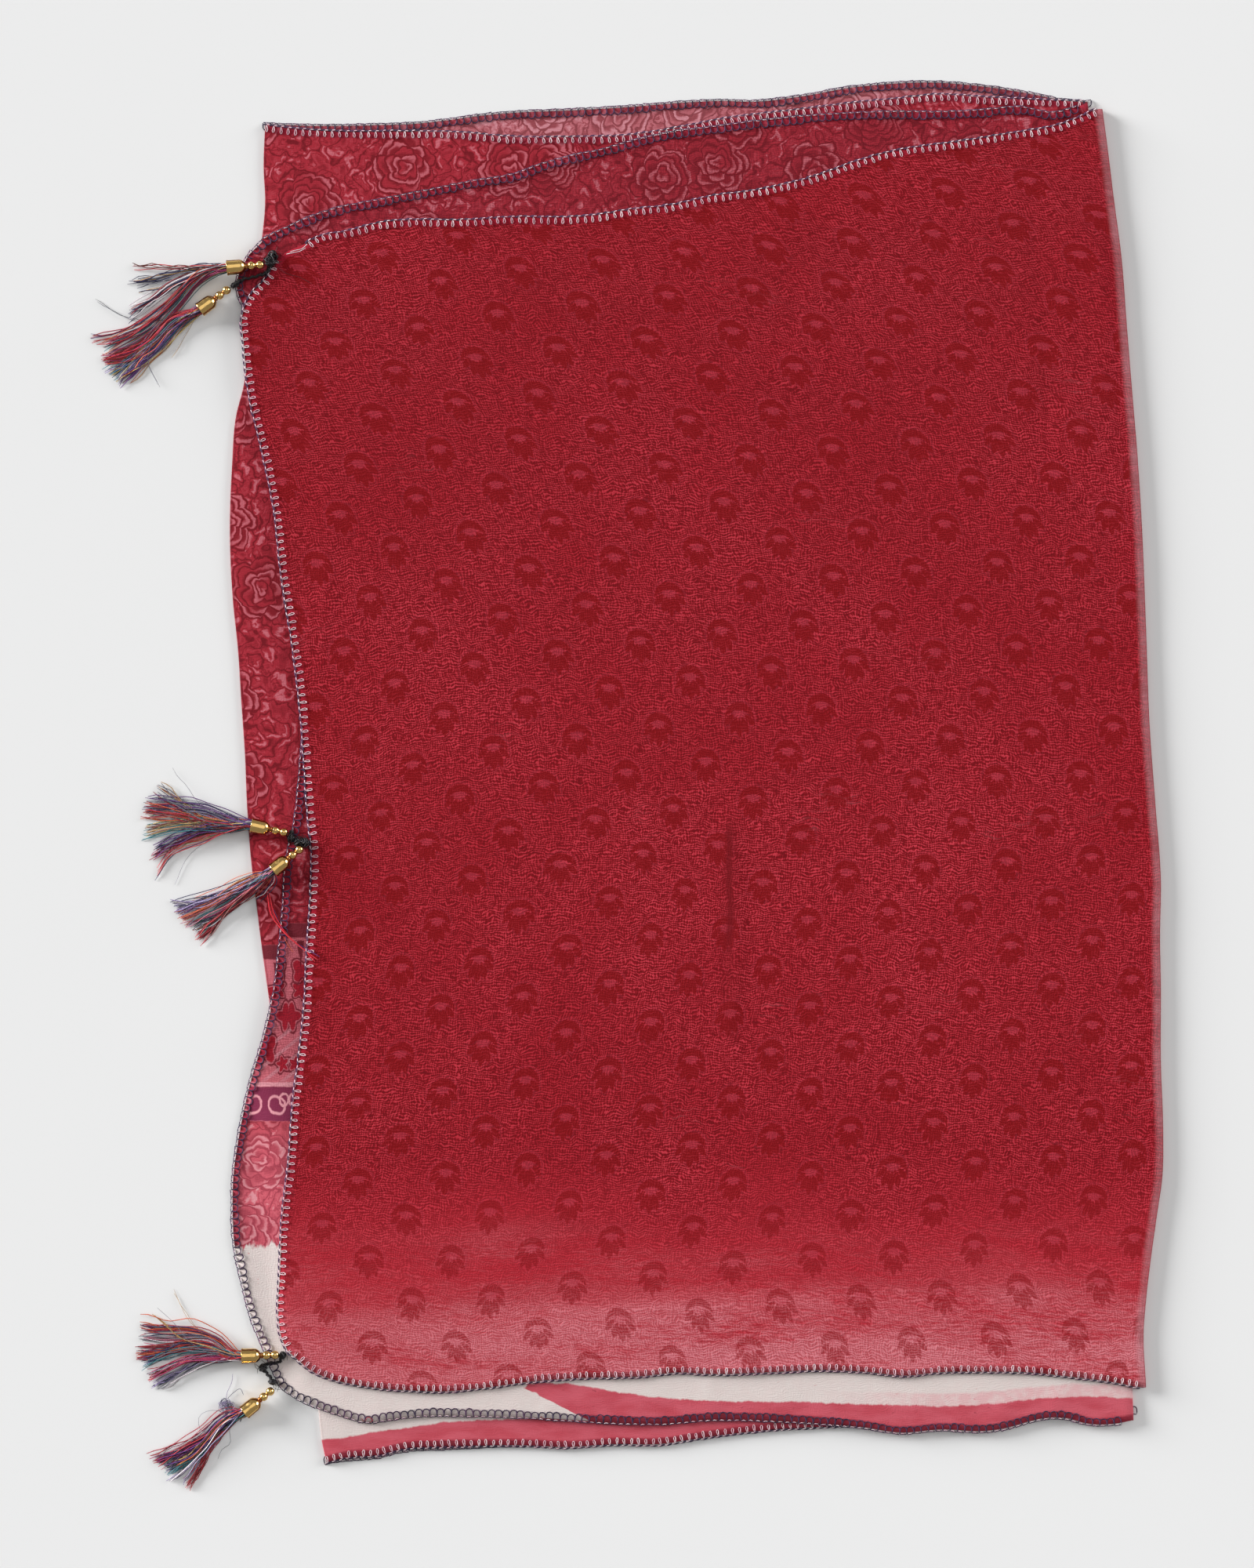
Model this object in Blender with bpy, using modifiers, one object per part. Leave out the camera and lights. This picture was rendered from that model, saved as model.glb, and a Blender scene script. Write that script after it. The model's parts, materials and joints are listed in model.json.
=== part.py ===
"""Wrap scarf with six tassels, folded in four and laid flat.

One sheer cloth, cut as a long rectangle, is folded across its length three
times. From the top down it lies as stretch 1, 2, 3 and 4:

    stretch 1   end of the cloth, hem on the left, runs into the outer fold
    stretch 2   other end of the cloth, hem on the left, runs into the inner fold
    stretch 3   between the inner fold (right) and the left fold
    stretch 4   between the left fold and the outer fold, lies on the surface

Stretches 3 and 4 carry the rest and are one rounded solid, layered at its
hems. Each short end of the cloth has a tassel at both corners and at its
middle, and a black tie binds the two tassels that lie together.

Frame: metres, +X right, +Y towards the top hems, +Z up, the surface it lies
on at Z = 0, origin under the middle of the whole outline.
"""
import math

import bmesh
import bpy
from mathutils import Matrix, Vector

MM = 0.001

# Cloth, in millimetres.
WALL = 1.0
GAP = 0.3
PITCH = WALL + GAP
OUTER_FOLD_RADIUS = 2 * WALL + 1.5 * GAP
INNER_FOLD_RADIUS = WALL + 0.5 * GAP
OUTER_RETURN = 6.0
INNER_RETURN = 3.15
HEM_SLIT = 4.0
HIDDEN_SEAM = 0.9
DROOP_MARGIN = 3.0
DROOP_RUN = 20.0
DROOP_SLACK = 0.7

# Steps between a panel's points: short ones at its hems, where it droops over
# the layers under it, and an even number of long ones between.
END_HEM_STEP = 6.5
LONG_HEM_STEP = 11.0
LONG_HEM_STEPS = 3
PANEL_STEPS = 22
UNDER_END_STEP = 9.0
UNDER_WIDTH_STEPS = 8
UNDER_HEM_STEPS = 2
UNDER_PANEL_STEPS = 20
UNDER_WIDTH = 430.0
UNDER_LENGTH = 690.0

# Tassel cap, turned: its mouth is at 0 and its two balls are past the shoulder.
CAP_LENGTH = 9.8
MOUTH_RADIUS = 4.0
SHOULDER_RADIUS = 2.9
SHOULDER_ROUND = 0.5
CAP_TAPER = 2.2
BORE_RADIUS = 3.35
BORE_TAPER = 0.13
BORE_DEPTH = 7.6
COLLAR_RADIUS = 1.2
COLLAR_FOOT = 0.6
BALL_RADIUS = 1.95
BALL_SPACING = 5.0
BALL_SECTION = (50, 100, 145)
FIRST_BALL = CAP_LENGTH + 3.3
LAST_BALL = FIRST_BALL + BALL_SPACING
CAP_STEPS = 10
CAP_REST_RUN = 6.0

# Tassel threads.
STRANDS = 24
STRAND_RADIUS = 0.4
STRAND_SIDES = 3
STRAND_STEPS = 7
STRAND_TIP = 0.8
STRAND_UNEVENNESS = 0.16
STRAND_REST_MARGIN = 4.0
STRAND_REST_RUN = 14.0
STRAND_START = 2.0
ROOT_SPREAD = 2.25
HEAD_FACE = 0.6
HEAD_DEPTH = 6.6
HEAD_SIDES = 10
FLATTEN = 0.3

# Black ties.
TIE_REST_MARGIN = 0.6
TIE_REST_RUN = 5.0
TIE_REACH = 0.9

# How far each side of the lying scarf reaches to the left and right, a row for
# each height. fold: left fold of stretches 3 and 4. hem2, hem1: end hems of
# stretches 2 and 1. inner, outer: right folds.
SIDE_COLUMNS = ("height", "fold", "hem2", "hem1", "inner", "outer")
SIDES = (
    (365, -190.5, -192.0, -180.0, 244.0, 247.5),
    (330, -191.0, -194.0, -182.0, 246.0, 251.7),
    (300, -190.8, -196.0, -183.0, 248.9, 256.3),
    (280, -192.4, -198.0, -184.0, 250.9, 258.7),
    (265, -194.0, -204.5, -189.5, 252.3, 260.2),
    (250, -196.0, -201.5, -200.0, 253.8, 261.4),
    (235, -198.0, -199.0, -202.0, 254.8, 262.4),
    (215, -201.0, -196.5, -199.4, 256.3, 263.7),
    (180, -206.6, -189.0, -192.8, 259.1, 267.4),
    (140, -208.7, -182.0, -184.8, 262.0, 269.7),
    (100, -207.4, -176.0, -179.6, 264.1, 271.5),
    (60, -203.9, -171.5, -174.3, 265.3, 272.9),
    (20, -201.2, -170.6, -170.0, 267.0, 274.2),
    (-20, -199.4, -174.3, -167.3, 270.7, 278.1),
    (-60, -195.3, -179.6, -166.2, 271.9, 279.5),
    (-100, -189.9, -185.0, -167.9, 271.9, 279.7),
    (-140, -185.0, -193.2, -171.8, 272.7, 280.2),
    (-180, -180.5, -203.1, -176.5, 273.6, 281.0),
    (-220, -176.0, -207.6, -180.3, 271.1, 278.9),
    (-260, -171.0, -202.9, -182.7, 265.7, 273.2),
    (-300, -166.0, -189.1, -178.4, 264.1, 271.5),
    (-330, -162.3, -172.0, -168.0, 268.6, 271.5),
    (-356, -158.2, -150.0, -150.0, 269.0, 271.5),
)

# Heights of the long hems of stretches 1 to 4 at the top and at the bottom, a
# row for each distance across.
HEM_COLUMNS = (
    "across", "top4", "top3", "top2", "top1",
    "bottom1", "bottom2", "bottom3", "bottom4",
)
HEMS = (
    (-200, 347.0, 345.7, 277.0, 266.0, -280.0, -300.0, -362.0, -362.6),
    (-190, 346.9, 345.7, 285.9, 271.9, -290.0, -312.0, -361.0, -361.6),
    (-170, 346.1, 343.6, 295.4, 282.8, -304.5, -323.8, -359.0, -359.8),
    (-150, 345.9, 342.6, 302.0, 289.2, -313.5, -331.2, -353.9, -355.0),
    (-120, 346.5, 342.4, 308.2, 295.2, -317.9, -332.5, -349.2, -350.6),
    (-80, 350.6, 340.3, 316.2, 295.8, -317.2, -331.2, -347.3, -348.3),
    (-40, 353.3, 339.5, 326.3, 297.0, -312.5, -333.1, -347.7, -347.0),
    (0, 355.6, 340.3, 336.8, 300.8, -310.6, -335.2, -346.5, -345.5),
    (40, 358.4, 347.1, 343.8, 307.0, -309.4, -333.5, -343.2, -342.2),
    (80, 360.0, 352.7, 348.6, 314.2, -308.4, -334.3, -338.7, -337.7),
    (120, 365.9, 357.4, 351.8, 326.3, -308.2, -337.0, -336.2, -335.2),
    (160, 368.5, 361.3, 352.3, 334.8, -308.8, -339.1, -337.0, -336.0),
    (200, 364.2, 359.7, 354.1, 340.9, -308.4, -337.8, -335.8, -334.8),
    (240, 358.0, 357.2, 356.6, 351.0, -311.5, -335.8, -333.3, -332.3),
    (270, 352.0, 355.0, 356.0, 359.0, -316.8, -332.9, -331.0, -330.0),
)

# Tassels 1, 2: top left corners of stretches 1 and 2. 3, 4: middles of the end
# hems of stretches 2 and 1. 5, 6: bottom left corners. Each row has the ball
# that is tied, the cap's mouth, a point along the threads, the middle of their
# tips, and how far the tips fan out to a side.
TASSEL_COLUMNS = ("ball", "mouth", "bend", "tip", "fan")
TASSELS = (
    ((-192.1, 272.0), (-210.1, 270.4), (-241.0, 264.0), (-280.0, 246.0), 13.0),
    ((-209.7, 259.6), (-224.7, 248.7), (-248.0, 234.0), (-274.0, 211.0), 8.5),
    ((-179.9, -25.4), (-197.4, -21.6), (-225.0, -17.7), (-256.5, -18.5), 17.0),
    ((-171.6, -34.0), (-185.8, -45.3), (-210.5, -58.9), (-238.0, -76.0), 11.0),
    ((-184.6, -299.5), (-202.6, -300.1), (-229.0, -297.5), (-260.5, -298.7), 16.0),
    ((-186.4, -317.7), (-201.2, -329.6), (-220.8, -345.8), (-243.5, -367.5), 10.0),
)

# Black ties, from the knot at one tassel to the knot at the other: across,
# height, radius.
TIE_COLUMNS = ("across", "height", "radius")
TIES = {
    "tie_top": (
        (-187.6, 278.4, 1.2), (-187.6, 273.6, 2.2), (-188.6, 269.2, 1.4),
        (-195.6, 266.2, 1.0), (-202.4, 264.5, 1.2), (-208.2, 260.7, 1.5),
    ),
    "tie_middle": (
        (-176.3, -24.6, 1.3), (-176.8, -28.4, 1.6), (-172.8, -29.6, 1.3),
        (-168.6, -31.2, 1.4),
    ),
    "tie_bottom": (
        (-181.0, -299.4, 1.3), (-183.2, -303.6, 0.9), (-189.0, -304.4, 0.9),
        (-192.6, -306.6, 1.0), (-189.4, -309.8, 1.1), (-185.8, -314.8, 1.3),
    ),
}

# Rings round stretches 3 and 4, from the top sheet's edge down to the lower
# sheet's: height, the outline that they follow, and how deep the slit between
# the two hems is there.
UNDER_RINGS = (
    (PITCH, "upper", 0.0),
    (PITCH, "upper", HEM_SLIT),
    (WALL, "upper", HEM_SLIT),
    (WALL, "lower", 0.0),
)

# Colour, roughness and metallic value.
COLOURS = {
    "red print": ((0.50, 0.03, 0.06, 1.0), 0.8, 0.0),
    "rose print": ((0.55, 0.09, 0.13, 1.0), 0.8, 0.0),
    "under print": ((0.58, 0.14, 0.18, 1.0), 0.8, 0.0),
    "gold cap": ((0.78, 0.55, 0.20, 1.0), 0.25, 1.0),
    "tassel thread": ((0.35, 0.08, 0.20, 1.0), 0.6, 0.0),
    "black tie": ((0.01, 0.01, 0.012, 1.0), 0.7, 0.0),
}


def clear_scene():
    for obj in list(bpy.data.objects):
        bpy.data.objects.remove(obj, do_unlink=True)


def material(name):
    found = bpy.data.materials.get(name)
    if found:
        return found
    colour, roughness, metallic = COLOURS[name]
    made = bpy.data.materials.new(name)
    made.use_nodes = True
    shader = made.node_tree.nodes["Principled BSDF"]
    shader.inputs["Base Color"].default_value = colour
    shader.inputs["Roughness"].default_value = roughness
    shader.inputs["Metallic"].default_value = metallic
    return made


def add_object(name, data, finish, collection):
    obj = bpy.data.objects.new(name, data)
    collection.objects.link(obj)
    data.materials.append(material(finish))
    return obj


def smooth_step(value):
    value = min(max(value, 0.0), 1.0)
    return value * value * (3 - 2 * value)


def reader(table, columns, name):
    """A smooth curve through one column of a table, straight past its ends."""
    column = columns.index(name)
    rows = sorted(table)
    places = [row[0] for row in rows]
    values = [row[column] for row in rows]
    last = len(rows) - 1

    def slope(index):
        before = max(index - 1, 0)
        after = min(index + 1, last)
        return (values[after] - values[before]) / (places[after] - places[before])

    def read(place):
        if place <= places[0]:
            return values[0] + slope(0) * (place - places[0])
        if place >= places[last]:
            return values[last] + slope(last) * (place - places[last])
        index = max(i for i in range(last) if places[i] <= place)
        run = places[index + 1] - places[index]
        t = (place - places[index]) / run
        rise = values[index + 1] - values[index]
        start = slope(index) * run
        end = slope(index + 1) * run
        bend = start + end - 2 * rise
        return values[index] + t * (start + t * (3 * rise - 2 * start - end + t * bend))

    return read


side = {name: reader(SIDES, SIDE_COLUMNS, name) for name in SIDE_COLUMNS[1:]}
hem = {name: reader(HEMS, HEM_COLUMNS, name) for name in HEM_COLUMNS[1:]}


def outside(x, y, left, bottom, top):
    """How far a point lies outside an area, negative inside it."""
    return max(left(y) - x, bottom(x) - y, y - top(x))


def cover(x, y, left, bottom, top, margin=DROOP_MARGIN, run=DROOP_RUN):
    """1 over an area, falling to 0 past its edge as a layer on it droops."""
    return 1 - smooth_step((outside(x, y, left, bottom, top) - margin) / run)


def under_cover(x, y, **droop):
    return cover(x, y, side["fold"], hem["bottom3"], hem["top3"], **droop)


def second_cover(x, y, **droop):
    return cover(x, y, side["hem2"], hem["bottom2"], hem["top2"], **droop)


def first_cover(x, y, **droop):
    return cover(x, y, side["hem1"], hem["bottom1"], hem["top1"], **droop)


def second_height(x, y):
    return 2 * PITCH * under_cover(x, y)


def first_height(x, y):
    share = under_cover(x, y)
    slack = DROOP_SLACK * 4 * share * (1 - share)
    return 2 * PITCH * share + PITCH * second_cover(x, y) + slack


def rest_height(x, y, margin, run):
    """Where a hard piece rests: on the layers under it, or on the surface."""
    near = {"margin": margin, "run": run}
    on_under = 2 * PITCH * under_cover(x, y, **near)
    on_second = (second_height(x, y) + PITCH) * second_cover(x, y, **near)
    on_first = (first_height(x, y) + PITCH) * first_cover(x, y, **near)
    return max(on_under, on_second, on_first) + GAP


def stations(length, step, count, middle, both=False):
    """Shares of a length: count short steps at its start, then middle long ones."""
    near = [step * index / length for index in range(count)]
    first = step * count / length
    last = 1 - first if both else 1.0
    run = [first + (last - first) * index / middle for index in range(middle + 1)]
    far = [1 - share for share in reversed(near)] if both else []
    return near + run + far


def spread(left, right, bottom, top, across, along):
    """Places of a panel's points, a list for each share of its height."""
    grid = []
    for v in along:
        row = []
        for u in across:
            x = left(0) + u * (right(0) - left(0))
            y = bottom(x) + v * (top(x) - bottom(x))
            for _ in range(12):
                x = left(y) + u * (right(y) - left(y))
                y = bottom(x) + v * (top(x) - bottom(x))
            row.append((x, y))
        grid.append(row)
    return grid


def sheet_mesh(name, rows):
    """An open surface through rows of points."""
    mesh = bpy.data.meshes.new(name)
    bm = bmesh.new()
    verts = [[bm.verts.new(Vector(p) * MM) for p in row] for row in rows]
    for near, far in zip(verts, verts[1:]):
        for a, b, c, d in zip(near, near[1:], far[1:], far):
            bm.faces.new((a, b, c, d))
    bm.to_mesh(mesh)
    bm.free()
    return mesh


def fold_section(radius, centre, steps, back):
    """A fold round the right side of a stretch: offsets across and heights."""
    middle = radius - WALL / 2
    section = []
    for index in range(1, steps + 1):
        turn = math.pi * index / steps
        section.append((middle * math.sin(turn), centre + middle * math.cos(turn)))
    section.append((radius - back, section[-1][1]))
    return section


def make_stretch(name, edges, height, fold, finish, collection):
    """A stretch of cloth with the fold that it runs into."""
    left, right, bottom, top = edges
    across = stations(fold["width"], END_HEM_STEP, fold["near"], fold["far"])
    along = stations(fold["length"], LONG_HEM_STEP, LONG_HEM_STEPS, PANEL_STEPS, both=True)

    def flat_end(y):
        return right(y) - fold["radius"]

    rows = []
    for row in spread(left, flat_end, bottom, top, across, along):
        points = [(x, y, height(x, y) + WALL / 2) for x, y in row]
        x, y = row[-1]
        centre = points[-1][2] + WALL / 2 - fold["radius"]
        turned = fold_section(fold["radius"], centre, fold["steps"], fold["back"])
        points += [(x + run, y, z) for run, z in turned]
        rows.append(points)
    obj = add_object(name, sheet_mesh(name, rows), finish, collection)
    shell = obj.modifiers.new("cloth thickness", "SOLIDIFY")
    shell.thickness = WALL * MM
    shell.offset = 0.0
    return obj


def make_stretches(collection):
    outer = dict(
        radius=OUTER_FOLD_RADIUS, steps=5, back=OUTER_RETURN,
        width=450.0, length=620.0, near=5, far=7,
    )
    inner = dict(
        radius=INNER_FOLD_RADIUS, steps=4, back=INNER_RETURN,
        width=450.0, length=650.0, near=7, far=6,
    )
    make_stretch(
        "stretch_1", (side["hem1"], side["outer"], hem["bottom1"], hem["top1"]),
        first_height, outer, "red print", collection,
    )
    make_stretch(
        "stretch_2", (side["hem2"], side["inner"], hem["bottom2"], hem["top2"]),
        second_height, inner, "rose print", collection,
    )


def border(grid):
    """The points round a grid of rows, counter-clockwise, with their side."""
    ring = [("bottom", p) for p in grid[0][1:]]
    ring += [("right", row[-1]) for row in grid[1:-1]]
    ring += [("top", p) for p in reversed(grid[-1][1:])]
    ring += [("left", row[0]) for row in reversed(grid)]
    return ring


def left_fold_point(upper, lower, share):
    """A point of the round left fold, a share of the way from its top down."""
    turn = math.pi * share
    x = upper[0] + (lower[0] - upper[0]) * share - INNER_FOLD_RADIUS * math.sin(turn)
    y = upper[1] + (lower[1] - upper[1]) * share
    return (x, y, INNER_FOLD_RADIUS * (1 + math.cos(turn)))


def hem_point(edge, upper, lower, ring):
    """A point of a ring at a hem, or at the end hidden in the right folds."""
    height, outline, slit = ring
    if outline == "lower":
        return (lower[0], lower[1], height)
    inward = {"bottom": slit, "top": -slit, "right": 0.0}[edge]
    return (upper[0], upper[1] + inward, height)


def under_rings(upper, lower):
    """The places of the rings between the edges of stretches 3 and 4."""
    edges = list(zip(border(upper), border(lower)))
    rings = []
    for number, ring in enumerate(UNDER_RINGS, start=1):
        share = number / (len(UNDER_RINGS) + 1)
        places = []
        for (edge, above), (_, below) in edges:
            if edge == "left":
                places.append(left_fold_point(above, below, share))
            else:
                places.append(hem_point(edge, above, below, ring))
        rings.append(places)
    return rings


def make_under_layers(collection):
    """Stretches 3 and 4: one solid, round at the left fold, slit at its hems."""
    across = stations(UNDER_WIDTH, UNDER_END_STEP, 1, UNDER_WIDTH_STEPS)
    along = stations(
        UNDER_LENGTH, LONG_HEM_STEP, UNDER_HEM_STEPS, UNDER_PANEL_STEPS, both=True,
    )

    def fold(y):
        return side["fold"](y) + INNER_FOLD_RADIUS

    def upper_end(y):
        return side["inner"](y) - INNER_RETURN - HIDDEN_SEAM

    def lower_end(y):
        return side["outer"](y) - OUTER_RETURN - HIDDEN_SEAM

    upper = spread(fold, upper_end, hem["bottom3"], hem["top3"], across, along)
    lower = spread(fold, lower_end, hem["bottom4"], hem["top4"], across, along)

    bm = bmesh.new()
    top_z = PITCH + WALL
    top_verts = [[bm.verts.new((x, y, top_z)) for x, y in row] for row in upper]
    low_verts = [[bm.verts.new((x, y, 0.0)) for x, y in row] for row in lower]
    for near, far in zip(top_verts, top_verts[1:]):
        for a, b, c, d in zip(near, near[1:], far[1:], far):
            bm.faces.new((a, b, c, d))
    for near, far in zip(low_verts, low_verts[1:]):
        for a, b, c, d in zip(near, near[1:], far[1:], far):
            bm.faces.new((d, c, b, a))

    rings = [[vert for _, vert in border(top_verts)]]
    for places in under_rings(upper, lower):
        rings.append([bm.verts.new(place) for place in places])
    rings.append([vert for _, vert in border(low_verts)])
    for above, below in zip(rings, rings[1:]):
        for index, corner in enumerate(above):
            after = (index + 1) % len(above)
            bm.faces.new((corner, below[index], below[after], above[after]))
    bmesh.ops.scale(bm, vec=(MM, MM, MM), verts=bm.verts)
    mesh = bpy.data.meshes.new("under_layers")
    bm.to_mesh(mesh)
    bm.free()
    return add_object("under_layers", mesh, "under print", collection)


def cap_radius(along):
    """Outer radius of the bell, from its mouth to its shoulder."""
    share = min(max(along / CAP_LENGTH, 0.0), 1.0)
    return MOUTH_RADIUS + (SHOULDER_RADIUS - MOUTH_RADIUS) * share ** CAP_TAPER


def bore_radius(along):
    """Inner radius of the bell, a distance in from its mouth."""
    return BORE_RADIUS - BORE_TAPER * along


def cap_profile():
    """Half section of cap and balls: distance from the axis, place along it."""
    neck = FIRST_BALL + math.sqrt(BALL_RADIUS ** 2 - COLLAR_RADIUS ** 2)
    profile = [(0.0, LAST_BALL + BALL_RADIUS)]
    for ball in (LAST_BALL, FIRST_BALL):
        for degrees in BALL_SECTION:
            turn = math.radians(degrees)
            profile.append((BALL_RADIUS * math.sin(turn), ball + BALL_RADIUS * math.cos(turn)))
        if ball == LAST_BALL:
            profile.append((COLLAR_RADIUS, neck))
    profile.append((COLLAR_RADIUS, CAP_LENGTH + COLLAR_FOOT))
    profile.append((SHOULDER_RADIUS - SHOULDER_ROUND, CAP_LENGTH + COLLAR_FOOT / 2))
    profile += [(cap_radius(CAP_LENGTH * s), CAP_LENGTH * s) for s in (0.94, 0.5, 0.0)]
    profile += [(BORE_RADIUS, 0.0), (bore_radius(BORE_DEPTH), BORE_DEPTH), (0.0, BORE_DEPTH)]
    return profile


def tassel_frame(row):
    """The mouth of a tassel's cap and the direction from it to its balls."""
    tassel = dict(zip(TASSEL_COLUMNS, row))
    mouth = Vector(tassel["mouth"])
    towards = (Vector(tassel["ball"]) - mouth).normalized()
    samples = [CAP_LENGTH * s for s in (0.0, 0.25, 0.5, 0.75, 1.0)] + [FIRST_BALL, LAST_BALL]
    height = 0.0
    for along in samples:
        x, y = mouth + towards * along
        radius = cap_radius(along) if along <= CAP_LENGTH else BALL_RADIUS
        height = max(height, rest_height(x, y, radius * 0.6, CAP_REST_RUN) + radius)
    return tassel, mouth, towards, height


def lay_along(mouth, towards, height):
    """Places a piece that is made standing on +Z with its mouth at the origin."""
    axis = Vector((towards.x, towards.y, 0.0))
    turn = Vector((0, 0, 1)).rotation_difference(axis).to_matrix().to_4x4()
    return Matrix.Translation(Vector((mouth.x, mouth.y, height)) * MM) @ turn


def make_cap(number, row, collection):
    _, mouth, towards, height = tassel_frame(row)
    mesh = bpy.data.meshes.new("tassel_cap")
    points = [(r * MM, 0.0, z * MM) for r, z in cap_profile()]
    mesh.from_pydata(points, [(i, i + 1) for i in range(len(points) - 1)], [])
    cap = add_object(f"tassel_cap_{number}", mesh, "gold cap", collection)
    turned = cap.modifiers.new("turned", "SCREW")
    turned.axis = "Z"
    turned.steps = CAP_STEPS
    turned.render_steps = CAP_STEPS
    turned.use_merge_vertices = True
    turned.merge_threshold = 0.00001
    turned.use_smooth_shade = True
    cap.matrix_world = lay_along(mouth, towards, height)


def root_places():
    """Roots of the strands, spread evenly over a disc: to the side and up."""
    golden = math.pi * (3 - math.sqrt(5))
    places = []
    for index in range(STRANDS):
        reach = ROOT_SPREAD * math.sqrt((index + 0.5) / STRANDS)
        turn = golden * index
        places.append((reach * math.cos(turn), reach * math.sin(turn)))
    return places


def strand_path(row, root, number):
    """A strand's centre line: from its root in the cap, down, fanning out."""
    tassel, mouth, towards, height = tassel_frame(row)
    sideways, lift = root
    start = mouth + towards * STRAND_START
    bend = Vector(tassel["bend"])
    tip = Vector(tassel["tip"])
    middle = 2 * bend - (start + tip) / 2
    length_share = 1 - STRAND_UNEVENNESS * ((number * 0.618) % 1.0)
    fan = tassel["fan"] / ROOT_SPREAD
    path = []
    for step in range(STRAND_STEPS + 1):
        t = length_share * step / STRAND_STEPS
        centre = (1 - t) ** 2 * start + 2 * t * (1 - t) * middle + t * t * tip
        heading = (2 * (1 - t) * (middle - start) + 2 * t * (tip - middle)).normalized()
        normal = Vector((-heading.y, heading.x))
        opened = 1 + (fan - 1) * smooth_step((t - 0.05) / 0.95) ** 0.9
        x, y = centre + normal * sideways * opened
        settle = smooth_step((t - 0.06) / 0.5)
        lying = rest_height(x, y, STRAND_REST_MARGIN, STRAND_REST_RUN) + GAP + STRAND_RADIUS
        flat = lying + (lift + ROOT_SPREAD) * FLATTEN
        path.append(Vector((x, y, (height + lift) * (1 - settle) + flat * settle)))
    return path


def add_tube(bm, path, radius):
    """A thin closed tube along a path, narrower at its tip."""
    rings = []
    for index, point in enumerate(path):
        before = path[max(index - 1, 0)]
        after = path[min(index + 1, len(path) - 1)]
        heading = (after - before).normalized()
        across = heading.cross(Vector((0, 0, 1))).normalized()
        over = across.cross(heading)
        width = radius * (STRAND_TIP if index in (0, len(path) - 1) else 1.0)
        ring = []
        for corner in range(STRAND_SIDES):
            turn = 2 * math.pi * corner / STRAND_SIDES + math.pi / 2
            offset = across * math.cos(turn) + over * math.sin(turn)
            ring.append(bm.verts.new((point + offset * width) * MM))
        rings.append(ring)
    for near, far in zip(rings, rings[1:]):
        for index in range(STRAND_SIDES):
            after = (index + 1) % STRAND_SIDES
            bm.faces.new((near[index], near[after], far[after], far[index]))
    bm.faces.new(list(reversed(rings[0])))
    bm.faces.new(rings[-1])
    bmesh.ops.recalc_face_normals(bm, faces=bm.faces)


def make_tassel(number, row, collection, helpers):
    """Threads of one tassel: a head inside the cap, with the strands in it."""
    _, mouth, towards, height = tassel_frame(row)
    strands = bpy.data.meshes.new("strands")
    bm = bmesh.new()
    for index, root in enumerate(root_places()):
        add_tube(bm, strand_path(row, root, index), STRAND_RADIUS)
    bm.to_mesh(strands)
    bm.free()
    cutter = bpy.data.objects.new(f"strands_{number}", strands)
    helpers.objects.link(cutter)
    cutter.hide_render = True
    cutter.display_type = "WIRE"

    head = bpy.data.meshes.new("tassel")
    bm = bmesh.new()
    deep = HEAD_FACE + HEAD_DEPTH
    middle = (HEAD_FACE + deep) / 2
    bmesh.ops.create_cone(
        bm, cap_ends=True, segments=HEAD_SIDES, depth=HEAD_DEPTH * MM,
        radius1=(bore_radius(HEAD_FACE) - GAP) * MM, radius2=(bore_radius(deep) - GAP) * MM,
        matrix=Matrix.Translation((0, 0, middle * MM)),
    )
    bm.to_mesh(head)
    bm.free()
    obj = add_object(f"tassel_{number}", head, "tassel thread", collection)
    obj.matrix_world = lay_along(mouth, towards, height)
    joined = obj.modifiers.new("roots in the head", "BOOLEAN")
    joined.operation = "UNION"
    joined.object = cutter


def tie_height(x, y, radius):
    """A tie lies on what is under it, and rises to the balls that it holds."""
    height = rest_height(x, y, radius + TIE_REST_MARGIN, TIE_REST_RUN) + radius
    for row in TASSELS:
        _, mouth, towards, axis_height = tassel_frame(row)
        ball = mouth + towards * LAST_BALL
        apart = (ball - Vector((x, y))).length - BALL_RADIUS - radius
        if apart < TIE_REACH:
            height = max(height, axis_height)
    return height


def make_tie(name, points, collection):
    """A short black cord, thicker at its knots."""
    rows = [dict(zip(TIE_COLUMNS, point)) for point in points]
    thickest = max(row["radius"] for row in rows)
    curve = bpy.data.curves.new(name, "CURVE")
    curve.dimensions = "3D"
    curve.bevel_depth = thickest * MM
    curve.bevel_resolution = 2
    curve.use_fill_caps = True
    spline = curve.splines.new("POLY")
    spline.points.add(len(points) - 1)
    for point, row in zip(spline.points, rows):
        x, y, thick = row["across"], row["height"], row["radius"]
        point.co = (x * MM, y * MM, tie_height(x, y, thick) * MM, 1.0)
        point.radius = thick / thickest
    add_object(name, curve, "black tie", collection)


def build():
    clear_scene()
    scarf = bpy.data.collections.new("wrap_scarf")
    helpers = bpy.data.collections.new("wrap_scarf_helpers")
    for collection in (scarf, helpers):
        bpy.context.scene.collection.children.link(collection)
    make_stretches(scarf)
    make_under_layers(scarf)
    for number, row in enumerate(TASSELS, start=1):
        make_cap(number, row, scarf)
        make_tassel(number, row, scarf, helpers)
    for name, points in TIES.items():
        make_tie(name, points, scarf)


build()
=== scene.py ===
import json
import math
import random
from functools import reduce

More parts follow.
